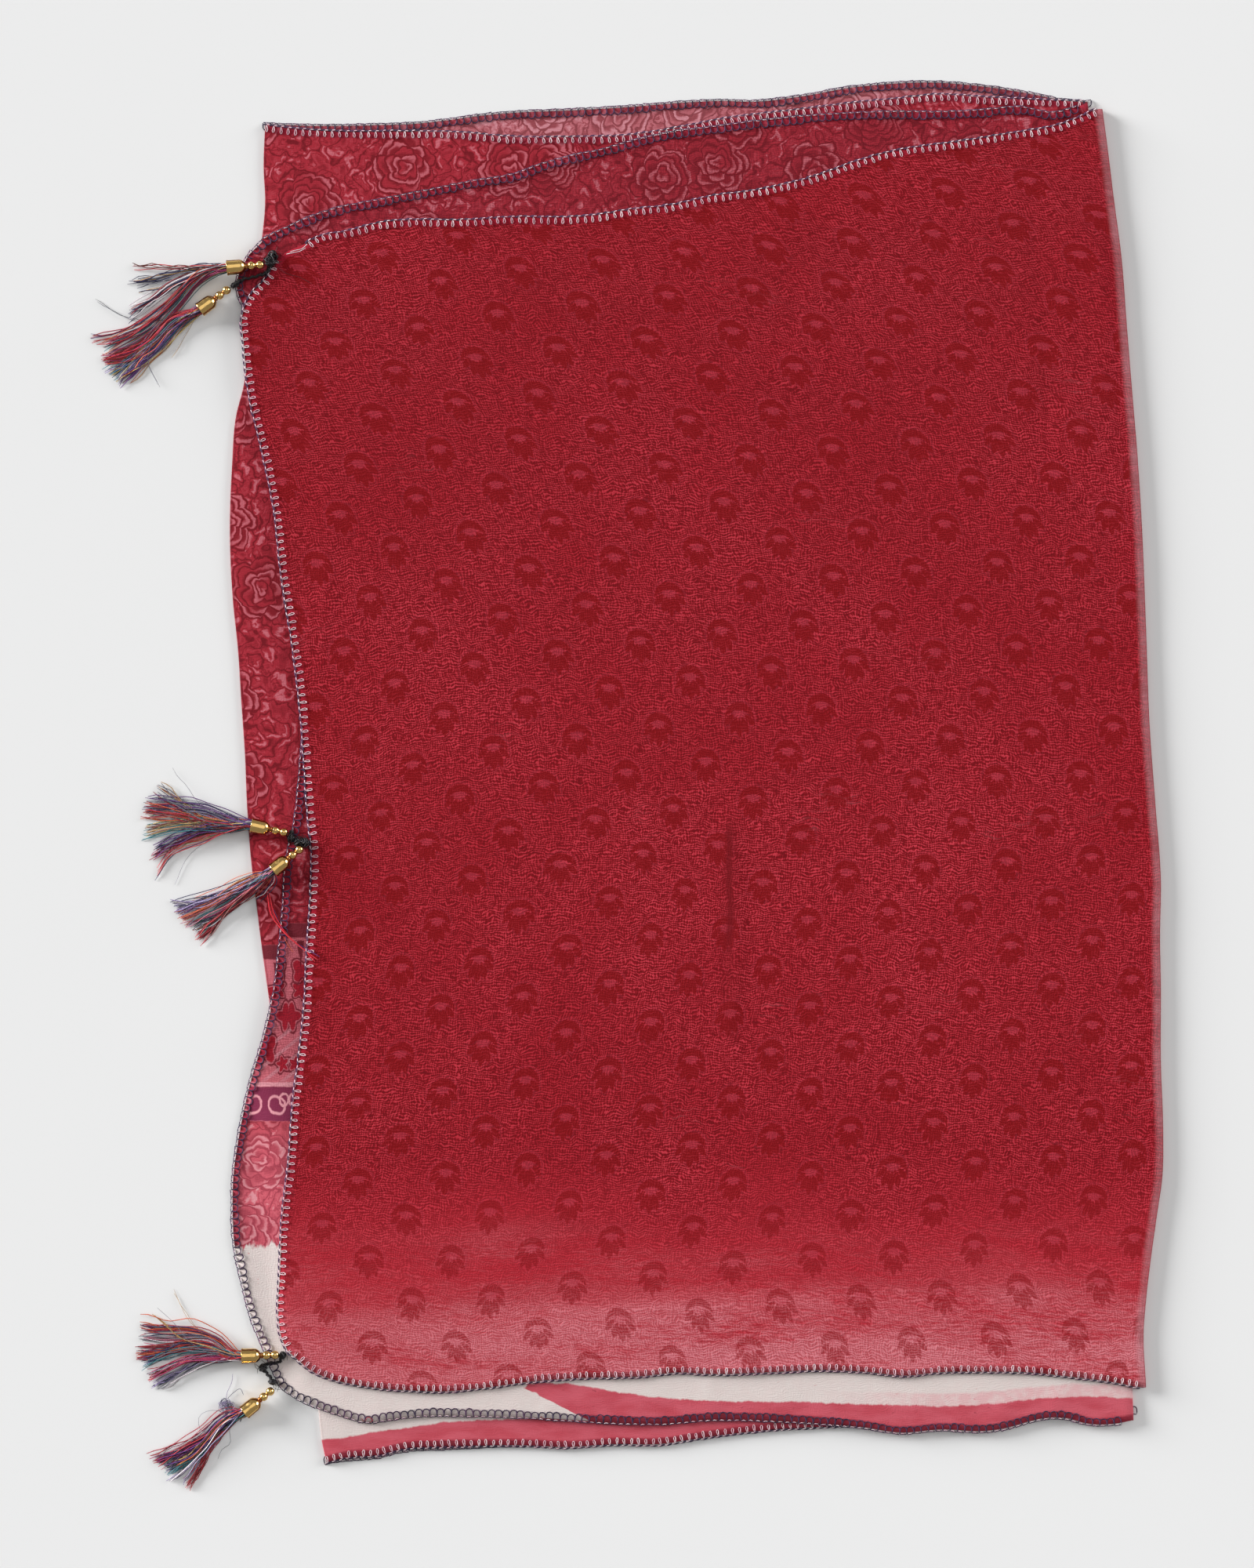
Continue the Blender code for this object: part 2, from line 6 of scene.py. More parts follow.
import bmesh
import bpy
import numpy as np
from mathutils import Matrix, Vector

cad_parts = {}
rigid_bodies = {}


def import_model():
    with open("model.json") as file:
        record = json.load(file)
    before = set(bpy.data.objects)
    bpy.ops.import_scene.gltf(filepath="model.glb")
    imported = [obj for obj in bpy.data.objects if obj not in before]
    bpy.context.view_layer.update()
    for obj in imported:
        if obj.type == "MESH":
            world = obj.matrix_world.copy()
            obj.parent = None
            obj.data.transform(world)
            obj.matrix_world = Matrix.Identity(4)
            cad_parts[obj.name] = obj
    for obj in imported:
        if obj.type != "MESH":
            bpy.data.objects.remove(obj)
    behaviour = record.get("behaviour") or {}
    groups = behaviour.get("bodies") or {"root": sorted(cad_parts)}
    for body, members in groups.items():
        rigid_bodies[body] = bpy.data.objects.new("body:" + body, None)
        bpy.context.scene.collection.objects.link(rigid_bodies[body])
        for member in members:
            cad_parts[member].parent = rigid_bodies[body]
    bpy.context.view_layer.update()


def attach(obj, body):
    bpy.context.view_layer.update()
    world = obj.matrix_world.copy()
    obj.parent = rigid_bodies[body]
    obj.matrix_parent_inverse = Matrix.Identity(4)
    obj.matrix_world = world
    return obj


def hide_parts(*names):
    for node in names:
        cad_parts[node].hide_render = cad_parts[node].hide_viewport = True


for leftover in list(bpy.data.objects):
    bpy.data.objects.remove(leftover)
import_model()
mm = 0.001

# the photograph looks straight down; its pixels are measured from this point
photo = {"pixel": 0.412 * mm, "centreX": 801.0, "centreY": 1000.0}


def fromPhoto(px, py):
    return ((px - photo["centreX"]) * photo["pixel"], (photo["centreY"] - py) * photo["pixel"])


def acrossLine(points):
    # how far across an edge lies at each height, from points on it in the photograph
    return smoothLine([(fromPhoto(px, py)[1], fromPhoto(px, py)[0]) for px, py in points])


def upLine(points):
    # how high an edge lies at each place across
    return smoothLine([fromPhoto(px, py) for px, py in points])


def smoothLine(points):
    places, values = (np.array(column) for column in zip(*sorted(points)))
    slopes = np.gradient(values, places)

    def read(place):
        place = np.asarray(place, dtype=float)
        inside = np.clip(place, places[0], places[-1])
        k = np.clip(np.searchsorted(places, inside, side="right") - 1, 0, len(places) - 2)
        run = places[k + 1] - places[k]
        t = (inside - places[k]) / run
        rise = values[k + 1] - values[k]
        start = slopes[k] * run
        end = slopes[k + 1] * run
        middle = values[k] + t * (start + t * (3 * rise - 2 * start - end + t * (start + end - 2 * rise)))
        before = np.minimum(place - places[0], 0) * slopes[0]
        after = np.maximum(place - places[-1], 0) * slopes[-1]
        return middle + before + after

    return read


def smoothStep(value):
    value = np.clip(value, 0.0, 1.0)
    return value * value * (3 - 2 * value)


# hems and folds, as points of the photograph
edge = {
    "hem1": acrossLine((
        (350, 335), (343, 354), (321, 377), (311, 400), (312, 442), (321, 512), (333, 562), (351, 649),
        (361, 737), (374, 818), (384, 898), (390, 978), (394, 1036), (399, 1085), (398, 1140), (393, 1220),
        (390, 1282), (383, 1347), (376, 1400), (370, 1480), (362, 1547), (358, 1622), (356, 1680),
        (360, 1706), (368, 1722),
    )),
    "bottom1": upLine((
        (368, 1722), (382, 1734), (395, 1745), (419, 1756), (446, 1763), (484, 1769), (526, 1772),
        (569, 1773), (615, 1769), (684, 1760), (743, 1756), (816, 1754), (869, 1749), (904, 1751),
        (977, 1749), (1051, 1746), (1100, 1748), (1158, 1753), (1195, 1749), (1256, 1748), (1312, 1749),
        (1369, 1755), (1411, 1760), (1458, 1769),
    )),
    "top1": upLine((
        (350, 335), (368, 322), (389, 313), (407, 304), (443, 297), (486, 286), (514, 283), (586, 283),
        (657, 279), (729, 279), (764, 276), (800, 270), (860, 263), (904, 253), (963, 245), (1045, 225),
        (1086, 210), (1126, 198), (1167, 190), (1208, 185), (1290, 172), (1351, 161), (1404, 139),
    )),
    "outer": acrossLine((
        (1405, 136), (1412, 188), (1420, 253), (1430, 330), (1437, 420), (1443, 494), (1450, 578),
        (1455, 655), (1461, 796), (1466, 930), (1473, 1025), (1480, 1121), (1479, 1197), (1480, 1255),
        (1480, 1354), (1483, 1440), (1482, 1500), (1475, 1550), (1468, 1600), (1461, 1660), (1458, 1700),
        (1461, 1764),
    )),
    "hem2": acrossLine((
        (318, 326), (307, 345), (303, 368), (313, 395), (325, 500), (345, 600), (370, 760), (388, 900),
        (384, 982), (376, 1055), (366, 1100), (363, 1151), (357, 1216), (350, 1270), (337, 1324),
        (318, 1388), (305, 1450), (298, 1500), (297, 1545), (300, 1592), (307, 1625), (323, 1686),
        (338, 1721), (348, 1745), (358, 1767),
    )),
    "bottom2": upLine((
        (358, 1767), (371, 1777), (392, 1788), (414, 1796), (441, 1805), (467, 1812), (500, 1808),
        (537, 1804), (601, 1804), (684, 1807), (728, 1810), (787, 1813), (845, 1814), (904, 1809),
        (977, 1810), (1060, 1815), (1100, 1819), (1147, 1826), (1200, 1822), (1256, 1824), (1284, 1820),
        (1312, 1812), (1335, 1807), (1363, 1808), (1383, 1814), (1419, 1815), (1455, 1808),
    )),
    "top2": upLine((
        (318, 326), (336, 308), (361, 295), (396, 279), (425, 269), (479, 258), (550, 244), (604, 233),
        (657, 224), (693, 211), (729, 201), (764, 194), (818, 179), (860, 170), (902, 165), (963, 157),
        (1045, 149), (1126, 145), (1208, 145), (1249, 143), (1302, 139), (1343, 146), (1395, 129),
    )),
    "top3": upLine((
        (339, 161), (371, 165), (443, 169), (514, 169), (579, 170), (657, 176), (729, 176), (800, 174),
        (860, 165), (922, 153), (1004, 143), (1086, 133), (1147, 127), (1200, 122), (1249, 125), (1310, 128),
        (1392, 131),
    )),
    "bottom3": upLine((
        (417, 1864), (441, 1858), (481, 1855), (513, 1847), (561, 1844), (601, 1843), (679, 1843),
        (719, 1845), (787, 1841), (845, 1841), (889, 1834), (933, 1828), (992, 1822), (1051, 1819),
        (1140, 1815), (1200, 1813), (1300, 1806), (1380, 1804), (1453, 1803),
    )),
    "top4": upLine((
        (339, 159), (407, 161), (479, 160), (532, 158), (568, 154), (621, 147), (657, 144), (729, 141),
        (800, 137), (860, 132), (922, 129), (963, 130), (1024, 123), (1086, 112), (1140, 107), (1188, 105.5),
        (1249, 110), (1310, 119), (1371, 130), (1395, 130),
    )),
    "bottom4": upLine((
        (417, 1865), (441, 1861), (481, 1858), (513, 1850), (561, 1847), (601, 1845), (679, 1842),
        (787, 1840), (889, 1833), (992, 1821), (1140, 1813), (1300, 1804), (1453, 1801),
    )),
    "fold": acrossLine((
        (339, 158), (337, 215), (339, 258), (335, 304), (322, 400), (311, 495), (302, 530), (297, 590),
        (294, 680), (298, 768), (304, 825), (309, 902), (313, 959), (316, 1030), (321, 1097), (329, 1163),
        (334, 1203), (345, 1282), (360, 1400), (376, 1520), (392, 1660), (407, 1799), (411, 1836),
        (417, 1864),
    )),
}
innerFoldInset = 7.4 * mm
# where the pink end of the print starts on the second and third layers
pinkEnd = {
    "second": upLine((
        (640, 1764), (734, 1765), (780, 1773), (840, 1781), (940, 1786), (1000, 1787), (1130, 1791),
        (1223, 1792), (1271, 1789), (1319, 1784), (1376, 1780), (1453, 1783),
    )),
    "secondLeft": acrossLine(((600, 1735), (665, 1768), (700, 1785), (740, 1805), (770, 1820))),
    "third": upLine(((413, 1836), (451, 1831), (493, 1824), (524, 1820), (562, 1814), (589, 1812),
                     (700, 1808), (900, 1800))),
}


def innerFold(y):
    return edge["outer"](y) - innerFoldInset


# cloth, laid in four layers; middles of the layers stand a pitch apart
cloth = {
    "thickness": 0.42 * mm,
    "pitch": 1.3 * mm,
    "lowest": 0.24 * mm,
    "middleOfFirst": 0.5 * mm,
    "outerRadius": 2.2 * mm,
    "innerRadius": 0.85 * mm,
    "outerReturn": 6.0 * mm,
    "innerReturn": 3.1 * mm,
    "droopMargin": 3.0 * mm,
    "droopRun": 20.0 * mm,
    "droopSlack": 0.7 * mm,
    "underSlack": 0.2 * mm,
    "settlings": 14,      # rounds in which a panel's points find their places
}
farOff = 50 * mm      # the mark of a place with no hem or fold near it


def cover(x, y, left, bottom, top):
    # 1 over a layer, falling to 0 past its edge
    outside = np.maximum(np.maximum(left(y) - x, bottom(x) - y), y - top(x))
    return 1 - smoothStep((outside - cloth["droopMargin"]) / cloth["droopRun"])


def underCover(x, y):
    return cover(x, y, edge["fold"], edge["bottom3"], edge["top3"])


def secondHeight(x, y):
    return cloth["middleOfFirst"] + 2 * cloth["pitch"] * underCover(x, y)


def firstHeight(x, y):
    share = underCover(x, y)
    on = cover(x, y, edge["hem2"], edge["bottom2"], edge["top2"])
    slack = cloth["droopSlack"] * 4 * share * (1 - share)
    return cloth["middleOfFirst"] + cloth["pitch"] * (2 * share + on) + slack


def panel(left, right, bottom, top, columns, rows):
    # places of a panel's points between its four edges
    u = np.linspace(0, 1, columns)[None, :] * np.ones((rows, 1))
    v = np.linspace(0, 1, rows)[:, None] * np.ones((1, columns))
    x = left(0.0) + u * (right(0.0) - left(0.0))
    y = bottom(x) + v * (top(x) - bottom(x))
    for _ in range(cloth["settlings"]):
        x = left(y) + u * (right(y) - left(y))
        y = bottom(x) + v * (top(x) - bottom(x))
    return x, y


def smoothNoise(x, y, size, seed):
    # soft uneven waves, the sum of a few turned sines
    draw = random.Random(seed)
    total, sines = np.zeros_like(x), 7
    for _ in range(sines):
        turn = draw.uniform(0, math.pi)
        length = size * draw.uniform(0.65, 1.6)
        phase = draw.uniform(0, 2 * math.pi)
        total = total + np.sin((x * math.cos(turn) + y * math.sin(turn)) * 2 * math.pi / length + phase)
    return total / sines


def creaseField(x, y, creases):
    # soft troughs and ridges along short lines: start, end, width, rise
    total = np.zeros_like(x)
    for start, end, width, rise in creases:
        ax, ay = fromPhoto(*start)
        bx, by = fromPhoto(*end)
        length = math.hypot(bx - ax, by - ay)
        dx, dy = (bx - ax) / length, (by - ay) / length
        along = ((x - ax) * dx + (y - ay) * dy) / length
        bow = 0.04 * length * np.sin(along * math.pi)
        off = ((y - ay) * dx - (x - ax) * dy - bow) / (width * mm)
        taper = smoothStep(along / 0.25 + 0.3) * smoothStep((1 - along) / 0.35 + 0.2)
        total = total + rise * mm * np.exp(-off ** 2) * taper
    return total


def addObject(name, data):
    made = bpy.data.objects.new(name, data)
    bpy.context.scene.collection.objects.link(made)
    return made


def addMark(mesh, name, values, kind="FLOAT", key="value"):
    # a value for each point of a mesh, read by its material or a geometry tree
    layer = mesh.attributes.new(name, kind, "POINT")
    layer.data.foreach_set(key, np.asarray(values, dtype=np.float32).ravel())


def surfaceNormals(mid):
    normal = np.cross(np.gradient(mid, axis=1), np.gradient(mid, axis=0))
    return normal / np.linalg.norm(normal, axis=2, keepdims=True)


def clothShell(name, mid, flat, rightSideUp, marks):
    # a thin closed shell round a middle surface, with the print's map and marks
    rows, columns = mid.shape[:2]
    offset = surfaceNormals(mid) * (cloth["thickness"] / 2)
    points = np.concatenate([(mid + offset).reshape(-1, 3), (mid - offset).reshape(-1, 3)])
    index = np.arange(rows * columns).reshape(rows, columns)
    corners = [index[:-1, :-1], index[:-1, 1:], index[1:, 1:], index[1:, :-1]]
    front = np.stack(corners, axis=-1).reshape(-1, 4)
    back = front[:, ::-1] + rows * columns
    ring = np.concatenate([index[0, :-1], index[:-1, -1], index[-1, :0:-1], index[:0:-1, 0]])
    after = np.roll(ring, -1)
    rim = np.stack([ring, ring + rows * columns, after + rows * columns, after], axis=-1)
    mesh = bpy.data.meshes.new(name)
    mesh.from_pydata(points.tolist(), [], np.concatenate([front, back, rim]).tolist())
    mesh.shade_smooth()
    uv = mesh.uv_layers.new(name="print")
    vertices = np.empty(len(mesh.loops), dtype=np.int32)
    mesh.loops.foreach_get("vertex_index", vertices)
    both = np.concatenate([flat.reshape(-1, 2)] * 2)
    uv.data.foreach_set("uv", both[vertices].astype(np.float32).ravel())
    for mark, values in marks.items():
        addMark(mesh, mark, np.concatenate([values.ravel()] * 2))
    addMark(mesh, "wrongSide", np.repeat([0.0, 1.0] if rightSideUp else [1.0, 0.0], rows * columns))
    return addObject(name, mesh)


def foldRound(mid, radius, back, steps):
    # turns the right end of a layer down and back under itself
    rounds = []
    for step in range(1, steps + 1):
        turn = math.pi * step / steps
        rounds.append(mid[:, -1] + np.array([radius * math.sin(turn), 0.0, radius * (math.cos(turn) - 1)]))
    rounds += [rounds[-1] - np.array([back * share, 0.0, 0.0]) for share in (0.5, 1.0)]
    return np.concatenate([mid, np.stack(rounds, axis=1)], axis=1)


def alongTurn(flat, radius, back, steps):
    # the print's map carries on round that fold by the length of cloth
    extra = [math.pi * radius * step / steps for step in range(1, steps + 1)]
    extra += [extra[-1] + back * share for share in (0.5, 1.0)]
    more = np.stack([flat[:, -1] + np.array([length, 0.0]) for length in extra], axis=1)
    return np.concatenate([flat, more], axis=1)


# centres of the printed sprigs: the column and row of the repeat, then the photograph's pixels
sprigCentres = (
    (0, 0, 773, 338), (2, 0, 984, 320), (4, 0, 1194, 305), (6, 1, 1378, 329), (-2, -1, 588, 307),
    (-4, -1, 387, 351), (-4, 0, 356, 394), (-3, 2, 394, 493), (0, 6, 600, 684), (1, 7, 676, 730),
    (1, 4, 766, 551), (3, 10, 778, 883), (-1, 9, 404, 909), (0, 11, 426, 1008), (1, 13, 447, 1095),
    (4, 13, 761, 1050), (7, 13, 1067, 1012), (10, 13, 1378, 993), (11, 15, 1392, 1098), (5, 15, 780, 1149),
    (2, 15, 461, 1190), (7, 18, 830, 1308), (5, 21, 455, 1508), (8, 21, 772, 1478), (11, 21, 1082, 1443),
    (14, 21, 1390, 1423), (6, 24, 420, 1665), (9, 24, 731, 1638), (12, 24, 1035, 1603), (16, 24, 1445, 1583),
    (5, 1, 1271, 347), (3, 0, 1090, 313), (8, 15, 1080, 1118), (-3, -1, 491, 328), (-2, 0, 564, 362),
    (-3, 0, 467, 389), (-1, 0, 666, 347), (-2, 1, 534, 424), (-1, 1, 636, 407), (-3, 1, 429, 442),
    (0, 1, 743, 392), (0, 2, 713, 449), (-1, 2, 608, 461), (-2, 2, 506, 475), (6, 23, 472, 1606),
    (7, 23, 576, 1608), (8, 23, 677, 1598), (9, 23, 780, 1583), (7, 24, 527, 1661), (8, 24, 627, 1656),
    (10, 24, 834, 1627), (7, 25, 474, 1717), (8, 25, 579, 1719), (9, 25, 684, 1700), (10, 25, 788, 1690),
    (11, 25, 889, 1675), (8, 26, 543, 1763), (9, 26, 652, 1755), (10, 26, 757, 1740), (11, 26, 862, 1734),
    (13, 24, 1140, 1602), (14, 24, 1242, 1591), (15, 24, 1344, 1586), (13, 25, 1095, 1658),
    (15, 25, 1297, 1644), (16, 25, 1400, 1639), (13, 26, 1069, 1719), (15, 26, 1274, 1707),
    (16, 26, 1375, 1703),
)
sprigReach = 32 * mm      # how far a known place shifts its neighbours
# one step of the repeat along a row, and to the next row, where the cloth lies undistorted
sprigStep = {"acrossX": 43.0 * mm, "acrossY": 4.9 * mm, "downX": -18.3 * mm, "downY": -22.0 * mm}


def printPlace(x, y):
    # where a point of the lying cloth is in the undistorted print
    def terms(px, py):
        squares, cubes = [px * px, px * py, py * py], [px ** 3, px * px * py, px * py * py, py ** 3]
        return [np.ones_like(px), px, py] + squares + cubes

    known = np.array(sprigCentres, dtype=float)
    kx, ky = fromPhoto(known[:, 2], known[:, 3])
    scale, slack = 0.3, 0.15
    matrix = np.stack(terms(kx / scale, ky / scale), axis=1)
    here = terms(x / scale, y / scale)

    # a smooth map, and what it misses at each known place spread softly round it
    def near(px, py):
        return np.exp(-((px[..., None] - kx) ** 2 + (py[..., None] - ky) ** 2) / (2 * sprigReach ** 2))

    def fitted(values):
        smooth = np.linalg.lstsq(matrix, values, rcond=None)[0]
        missed = np.linalg.solve(near(kx, ky) + slack * np.eye(len(kx)), values - matrix @ smooth)
        return sum(c * term for c, term in zip(smooth, here)) + near(x, y) @ missed

    i, j = fitted(known[:, 0]), fitted(known[:, 1])
    across, up = (i * sprigStep["across" + axis] + j * sprigStep["down" + axis] for axis in "XY")
    return np.stack([across, up], axis=-1)


def fromHems(x, y, number, lines=("hem", "bottom", "top")):
    # how far inside its hems a place of a layer lies
    inside = {
        "hem": lambda: x - edge["hem" + number](y), "bottom": lambda: y - edge["bottom" + number](x),
        "top": lambda: edge["top" + number](x) - y,
    }
    return np.minimum.reduce([inside[line]() for line in lines])


def unevenness(x, y, toHem, s):
    # waves all over a layer, livelier ones by its hems, and the placed creases
    total = sum(height * smoothNoise(x, y, size, seed) for height, size, seed in s["waves"])
    height, size, seed = s["hemWaves"]
    total = total + height * smoothNoise(x, y, size, seed) * np.exp(-toHem / s["hemRun"])
    return total + creaseField(x, y, s["creases"])


def makeUpperLayer(name, number, s, fold, height, printed, marksAt):
    # a layer from its hem to its fold at the right, which goes round and under
    flatEnd = lambda y: fold(y) - s["radius"]
    hem, bottom, top = (edge[line + number] for line in ("hem", "bottom", "top"))
    x, y = panel(hem, flatEnd, bottom, top, s["columns"], s["rows"])
    toHem = fromHems(x, y, number)
    mid = np.stack([x, y, height(x, y) + unevenness(x, y, toHem, s)], axis=-1)
    flat = alongTurn(printed(x, y), s["radius"], s["back"], s["foldSteps"])
    mid = foldRound(mid, s["radius"], s["back"], s["foldSteps"])
    marks = marksAt(mid[:, :, 0], mid[:, :, 1])
    marks["hemDistance"] = np.pad(toHem, ((0, 0), (0, s["foldSteps"] + 2)), "edge")
    return clothShell(name, mid, flat, s["rightSideUp"], marks), mid


firstLayer = {
    "columns": 150, "rows": 196, "foldSteps": 8, "rightSideUp": True,
    "radius": cloth["outerRadius"], "back": cloth["outerReturn"],
    # height, size and seed
    "waves": ((0.16 * mm, 46 * mm, 3), (0.08 * mm, 17 * mm, 4)), "hemWaves": (0.30 * mm, 24 * mm, 5),
    "hemRun": 14 * mm,
    "creases": (
        # start, end, half width in mm, rise in mm
        ((930, 1030), (929, 1345), 3.2, 0.75),
        ((850, 1034), (1300, 930), 4.5, 0.30),
        ((357, 345), (398, 367), 1.6, -0.45),
        ((366, 1721), (392, 1712), 1.8, 0.55),
        ((372, 1716), (402, 1690), 1.8, -0.40),
        ((397, 1066), (440, 1069), 1.4, 0.40),
        ((404, 1080), (432, 1094), 1.4, -0.35),
        ((406, 470), (402, 905), 3.0, 0.25),
        ((1310, 235), (1330, 620), 6.0, -0.35),
        ((1390, 260), (1402, 560), 5.0, 0.30),
        ((450, 1600), (1440, 1530), 9.0, 0.28),
        ((500, 1690), (1400, 1665), 8.0, -0.25),
        ((600, 420), (1240, 380), 9.0, 0.22),
        ((560, 900), (1380, 780), 11.0, -0.22),
        ((480, 1400), (1000, 1300), 10.0, 0.20),
        ((1100, 1250), (1440, 1400), 9.0, 0.25),
    ),
}


def firstMarks(x, y):
    return {"foldDistance": edge["outer"](y) - x}


secondLayer = {
    "columns": 120, "rows": 176, "foldSteps": 5, "rightSideUp": False,
    "radius": cloth["innerRadius"], "back": cloth["innerReturn"],
    "waves": ((0.16 * mm, 38 * mm, 13),), "hemWaves": (0.30 * mm, 22 * mm, 15), "hemRun": 12 * mm,
    "creases": (
        ((690, 1800), (722, 1776), 1.3, 0.45),
        ((740, 1792), (765, 1772), 1.2, 0.35),
        ((872, 1800), (876, 1772), 1.2, 0.45),
        ((905, 1802), (926, 1782), 1.2, 0.35),
        ((1180, 1800), (1172, 1778), 1.4, 0.40),
        ((1345, 1806), (1352, 1772), 1.8, 0.55),
        ((1290, 1812), (1275, 1785), 1.6, 0.40),
        ((1000, 1800), (1012, 1786), 1.2, 0.35),
        ((375, 1765), (393, 1742), 1.8, 0.50),
        ((905, 1790), (903, 1755), 2.2, 0.35),
        ((322, 345), (345, 362), 1.6, 0.40),
        ((330, 1345), (350, 1330), 1.6, 0.35),
    ),
}


def secondMarks(x, y):
    pink = np.minimum(pinkEnd["second"](x) - y, x - pinkEnd["secondLeft"](y))
    return {"pinkDepth": pink, "foldDistance": np.full_like(x, farOff)}


def lyingPlace(x, y):
    return np.stack([x, y], axis=-1)


underLayers = {
    "columns": 96, "rows": 170, "foldSteps": 7, "waves": ((0.14 * mm, 34 * mm, 23),),
    "hemWaves": (0.22 * mm, 22 * mm, 25), "hemRun": 12 * mm, "flatBy": 10 * mm, "hiddenSeam": 0.9 * mm,
    "creases": (
        ((425, 1850), (437, 1820), 1.5, 0.45),
        ((470, 1840), (480, 1826), 1.3, 0.35),
        ((585, 1822), (592, 1835), 1.4, 0.35),
        ((870, 1828), (876, 1814), 1.2, 0.40),
        ((520, 1836), (538, 1828), 1.3, 0.30),
        ((312, 1080), (335, 1060), 1.6, 0.35),
    ),
}


def makeUnderLayers():
    # stretch 3 runs from the right to the left fold, and stretch 4 back below it
    s = underLayers
    radius = cloth["pitch"] / 2
    foldIn = lambda y: edge["fold"](y) + radius
    upperEnd = lambda y: innerFold(y) - cloth["innerReturn"] - s["hiddenSeam"]
    lowerEnd = lambda y: edge["outer"](y) - cloth["outerReturn"] - s["hiddenSeam"]
    x3, y3 = panel(foldIn, upperEnd, edge["bottom3"], edge["top3"], s["columns"], s["rows"])
    x4, y4 = panel(foldIn, lowerEnd, edge["bottom4"], edge["top4"], s["columns"], s["rows"])
    toHem3 = fromHems(x3, y3, "3", ("bottom", "top"))
    toHem4 = fromHems(x4, y4, "4", ("bottom", "top"))
    share = smoothStep((x3 - foldIn(y3)) / s["flatBy"])
    z3 = cloth["lowest"] + cloth["pitch"] + share * (cloth["underSlack"] + unevenness(x3, y3, toHem3, s))
    upper = np.stack([x3, y3, z3], axis=-1)[:, ::-1]
    lower = np.stack([x4, y4, np.full_like(x4, cloth["lowest"])], axis=-1)
    steps = s["foldSteps"]
    start = lyingPlace(x3, y3)[:, ::-1]
    turns, flatTurns = [], []
    for step in range(1, steps):
        turn, part = math.pi * step / steps, step / steps
        place = upper[:, -1] * (1 - part) + lower[:, 0] * part
        place[:, 0] -= radius * math.sin(turn)
        place[:, 2] = cloth["lowest"] + radius * (1 + math.cos(turn))
        turns.append(place)
        flatTurns.append(start[:, -1] - np.array([radius * turn, 0.0]))
    mid = np.concatenate([upper, np.stack(turns, axis=1), lower], axis=1)
    beyond = lyingPlace(2 * foldIn(y4) - x4 - math.pi * radius, y4)
    flat = np.concatenate([start, np.stack(flatTurns, axis=1), beyond], axis=1)
    far = np.full((len(x3), steps - 1), farOff)
    marks = {
        "hemDistance": np.concatenate([toHem3[:, ::-1], far, toHem4], axis=1),
        "pinkDepth": pinkEnd["third"](mid[:, :, 0]) - mid[:, :, 1],
        "foldDistance": mid[:, :, 0] - edge["fold"](mid[:, :, 1]),
    }
    return clothShell("cloth_under_layers", mid, flat, False, marks), upper[:, ::-1], lower


print("cloth")
first, firstMid = makeUpperLayer(
    "cloth_first_layer", "1", firstLayer, edge["outer"], firstHeight, printPlace, firstMarks)
second, secondMid = makeUpperLayer(
    "cloth_second_layer", "2", secondLayer, innerFold, secondHeight, lyingPlace, secondMarks)
under, thirdMid, fourthMid = makeUnderLayers()


# node trees: a wire is what a node gives out, and is reckoned with like a number
class wire:
    def __init__(self, socket):
        self.socket = socket

    def __add__(self, other):
        return maths("ADD", self, other)

    def __radd__(self, other):
        return maths("ADD", other, self)

    def __sub__(self, other):
        return maths("SUBTRACT", self, other)

    def __rsub__(self, other):
        return maths("SUBTRACT", other, self)

    def __mul__(self, other):
        return maths("MULTIPLY", self, other)

    def __truediv__(self, number):
        return maths("MULTIPLY", self, 1 / number)

    def __abs__(self):
        return maths("ABSOLUTE", self)


def put(socket, value):
    # links a wire to a socket, or sets the number, colour or object on it
    if isinstance(value, wire):
        socket.id_data.links.new(value.socket, socket)
    else:
        socket.default_value = value


def newNode(tree, kind, given=(), **settings):
    # given: what goes into the node, in the order of its sockets or by their names
    made = tree.nodes.new(kind)
    for key, value in settings.items():
        setattr(made, key, value)
    for key, value in given.items() if isinstance(given, dict) else enumerate(given):
        put(made.inputs[key], value)
    return made


def newWire(tree, kind, given=(), output=0, **settings):
    return wire(newNode(tree, kind, given, **settings).outputs[output])


def treeOf(values):
    return next(value.socket.id_data for value in values if isinstance(value, wire))


def maths(operation, *values):
    return newWire(treeOf(values), "ShaderNodeMath", values, operation=operation)


def vector(operation, *values):
    output = "Value" if operation == "LENGTH" else "Vector"
    return newWire(treeOf(values), "ShaderNodeVectorMath", values, output, operation=operation)


def most(a, b):
    return maths("MAXIMUM", a, b)


def least(a, b):
    return maths("MINIMUM", a, b)


def ramp(value, low, high, outLow=0.0, outHigh=1.0):
    # a soft step from outLow at low to outHigh at high
    given = {"Value": value, "From Min": low, "From Max": high, "To Min": outLow, "To Max": outHigh}
    return newWire(treeOf([value]), "ShaderNodeMapRange", given, interpolation_type="SMOOTHSTEP")


def fall(value, low, high):
    return ramp(value, low, high, 1.0, 0.0)


def mix(share, a, b):
    return newWire(treeOf([share, a, b]), "ShaderNodeMix", {0: share, 6: a, 7: b}, 2, data_type="RGBA")


def split(place):
    made = newNode(treeOf([place]), "ShaderNodeSeparateXYZ", (place,))
    return [wire(socket) for socket in made.outputs]


def join(x, y):
    return newWire(treeOf([x, y]), "ShaderNodeCombineXYZ", (x, y))


def shifted(place, x, y):
    return vector("ADD", place, (x, y, 0.0))


def stretch(place, x, y):
    return vector("MULTIPLY", place, (x, y, 1.0))


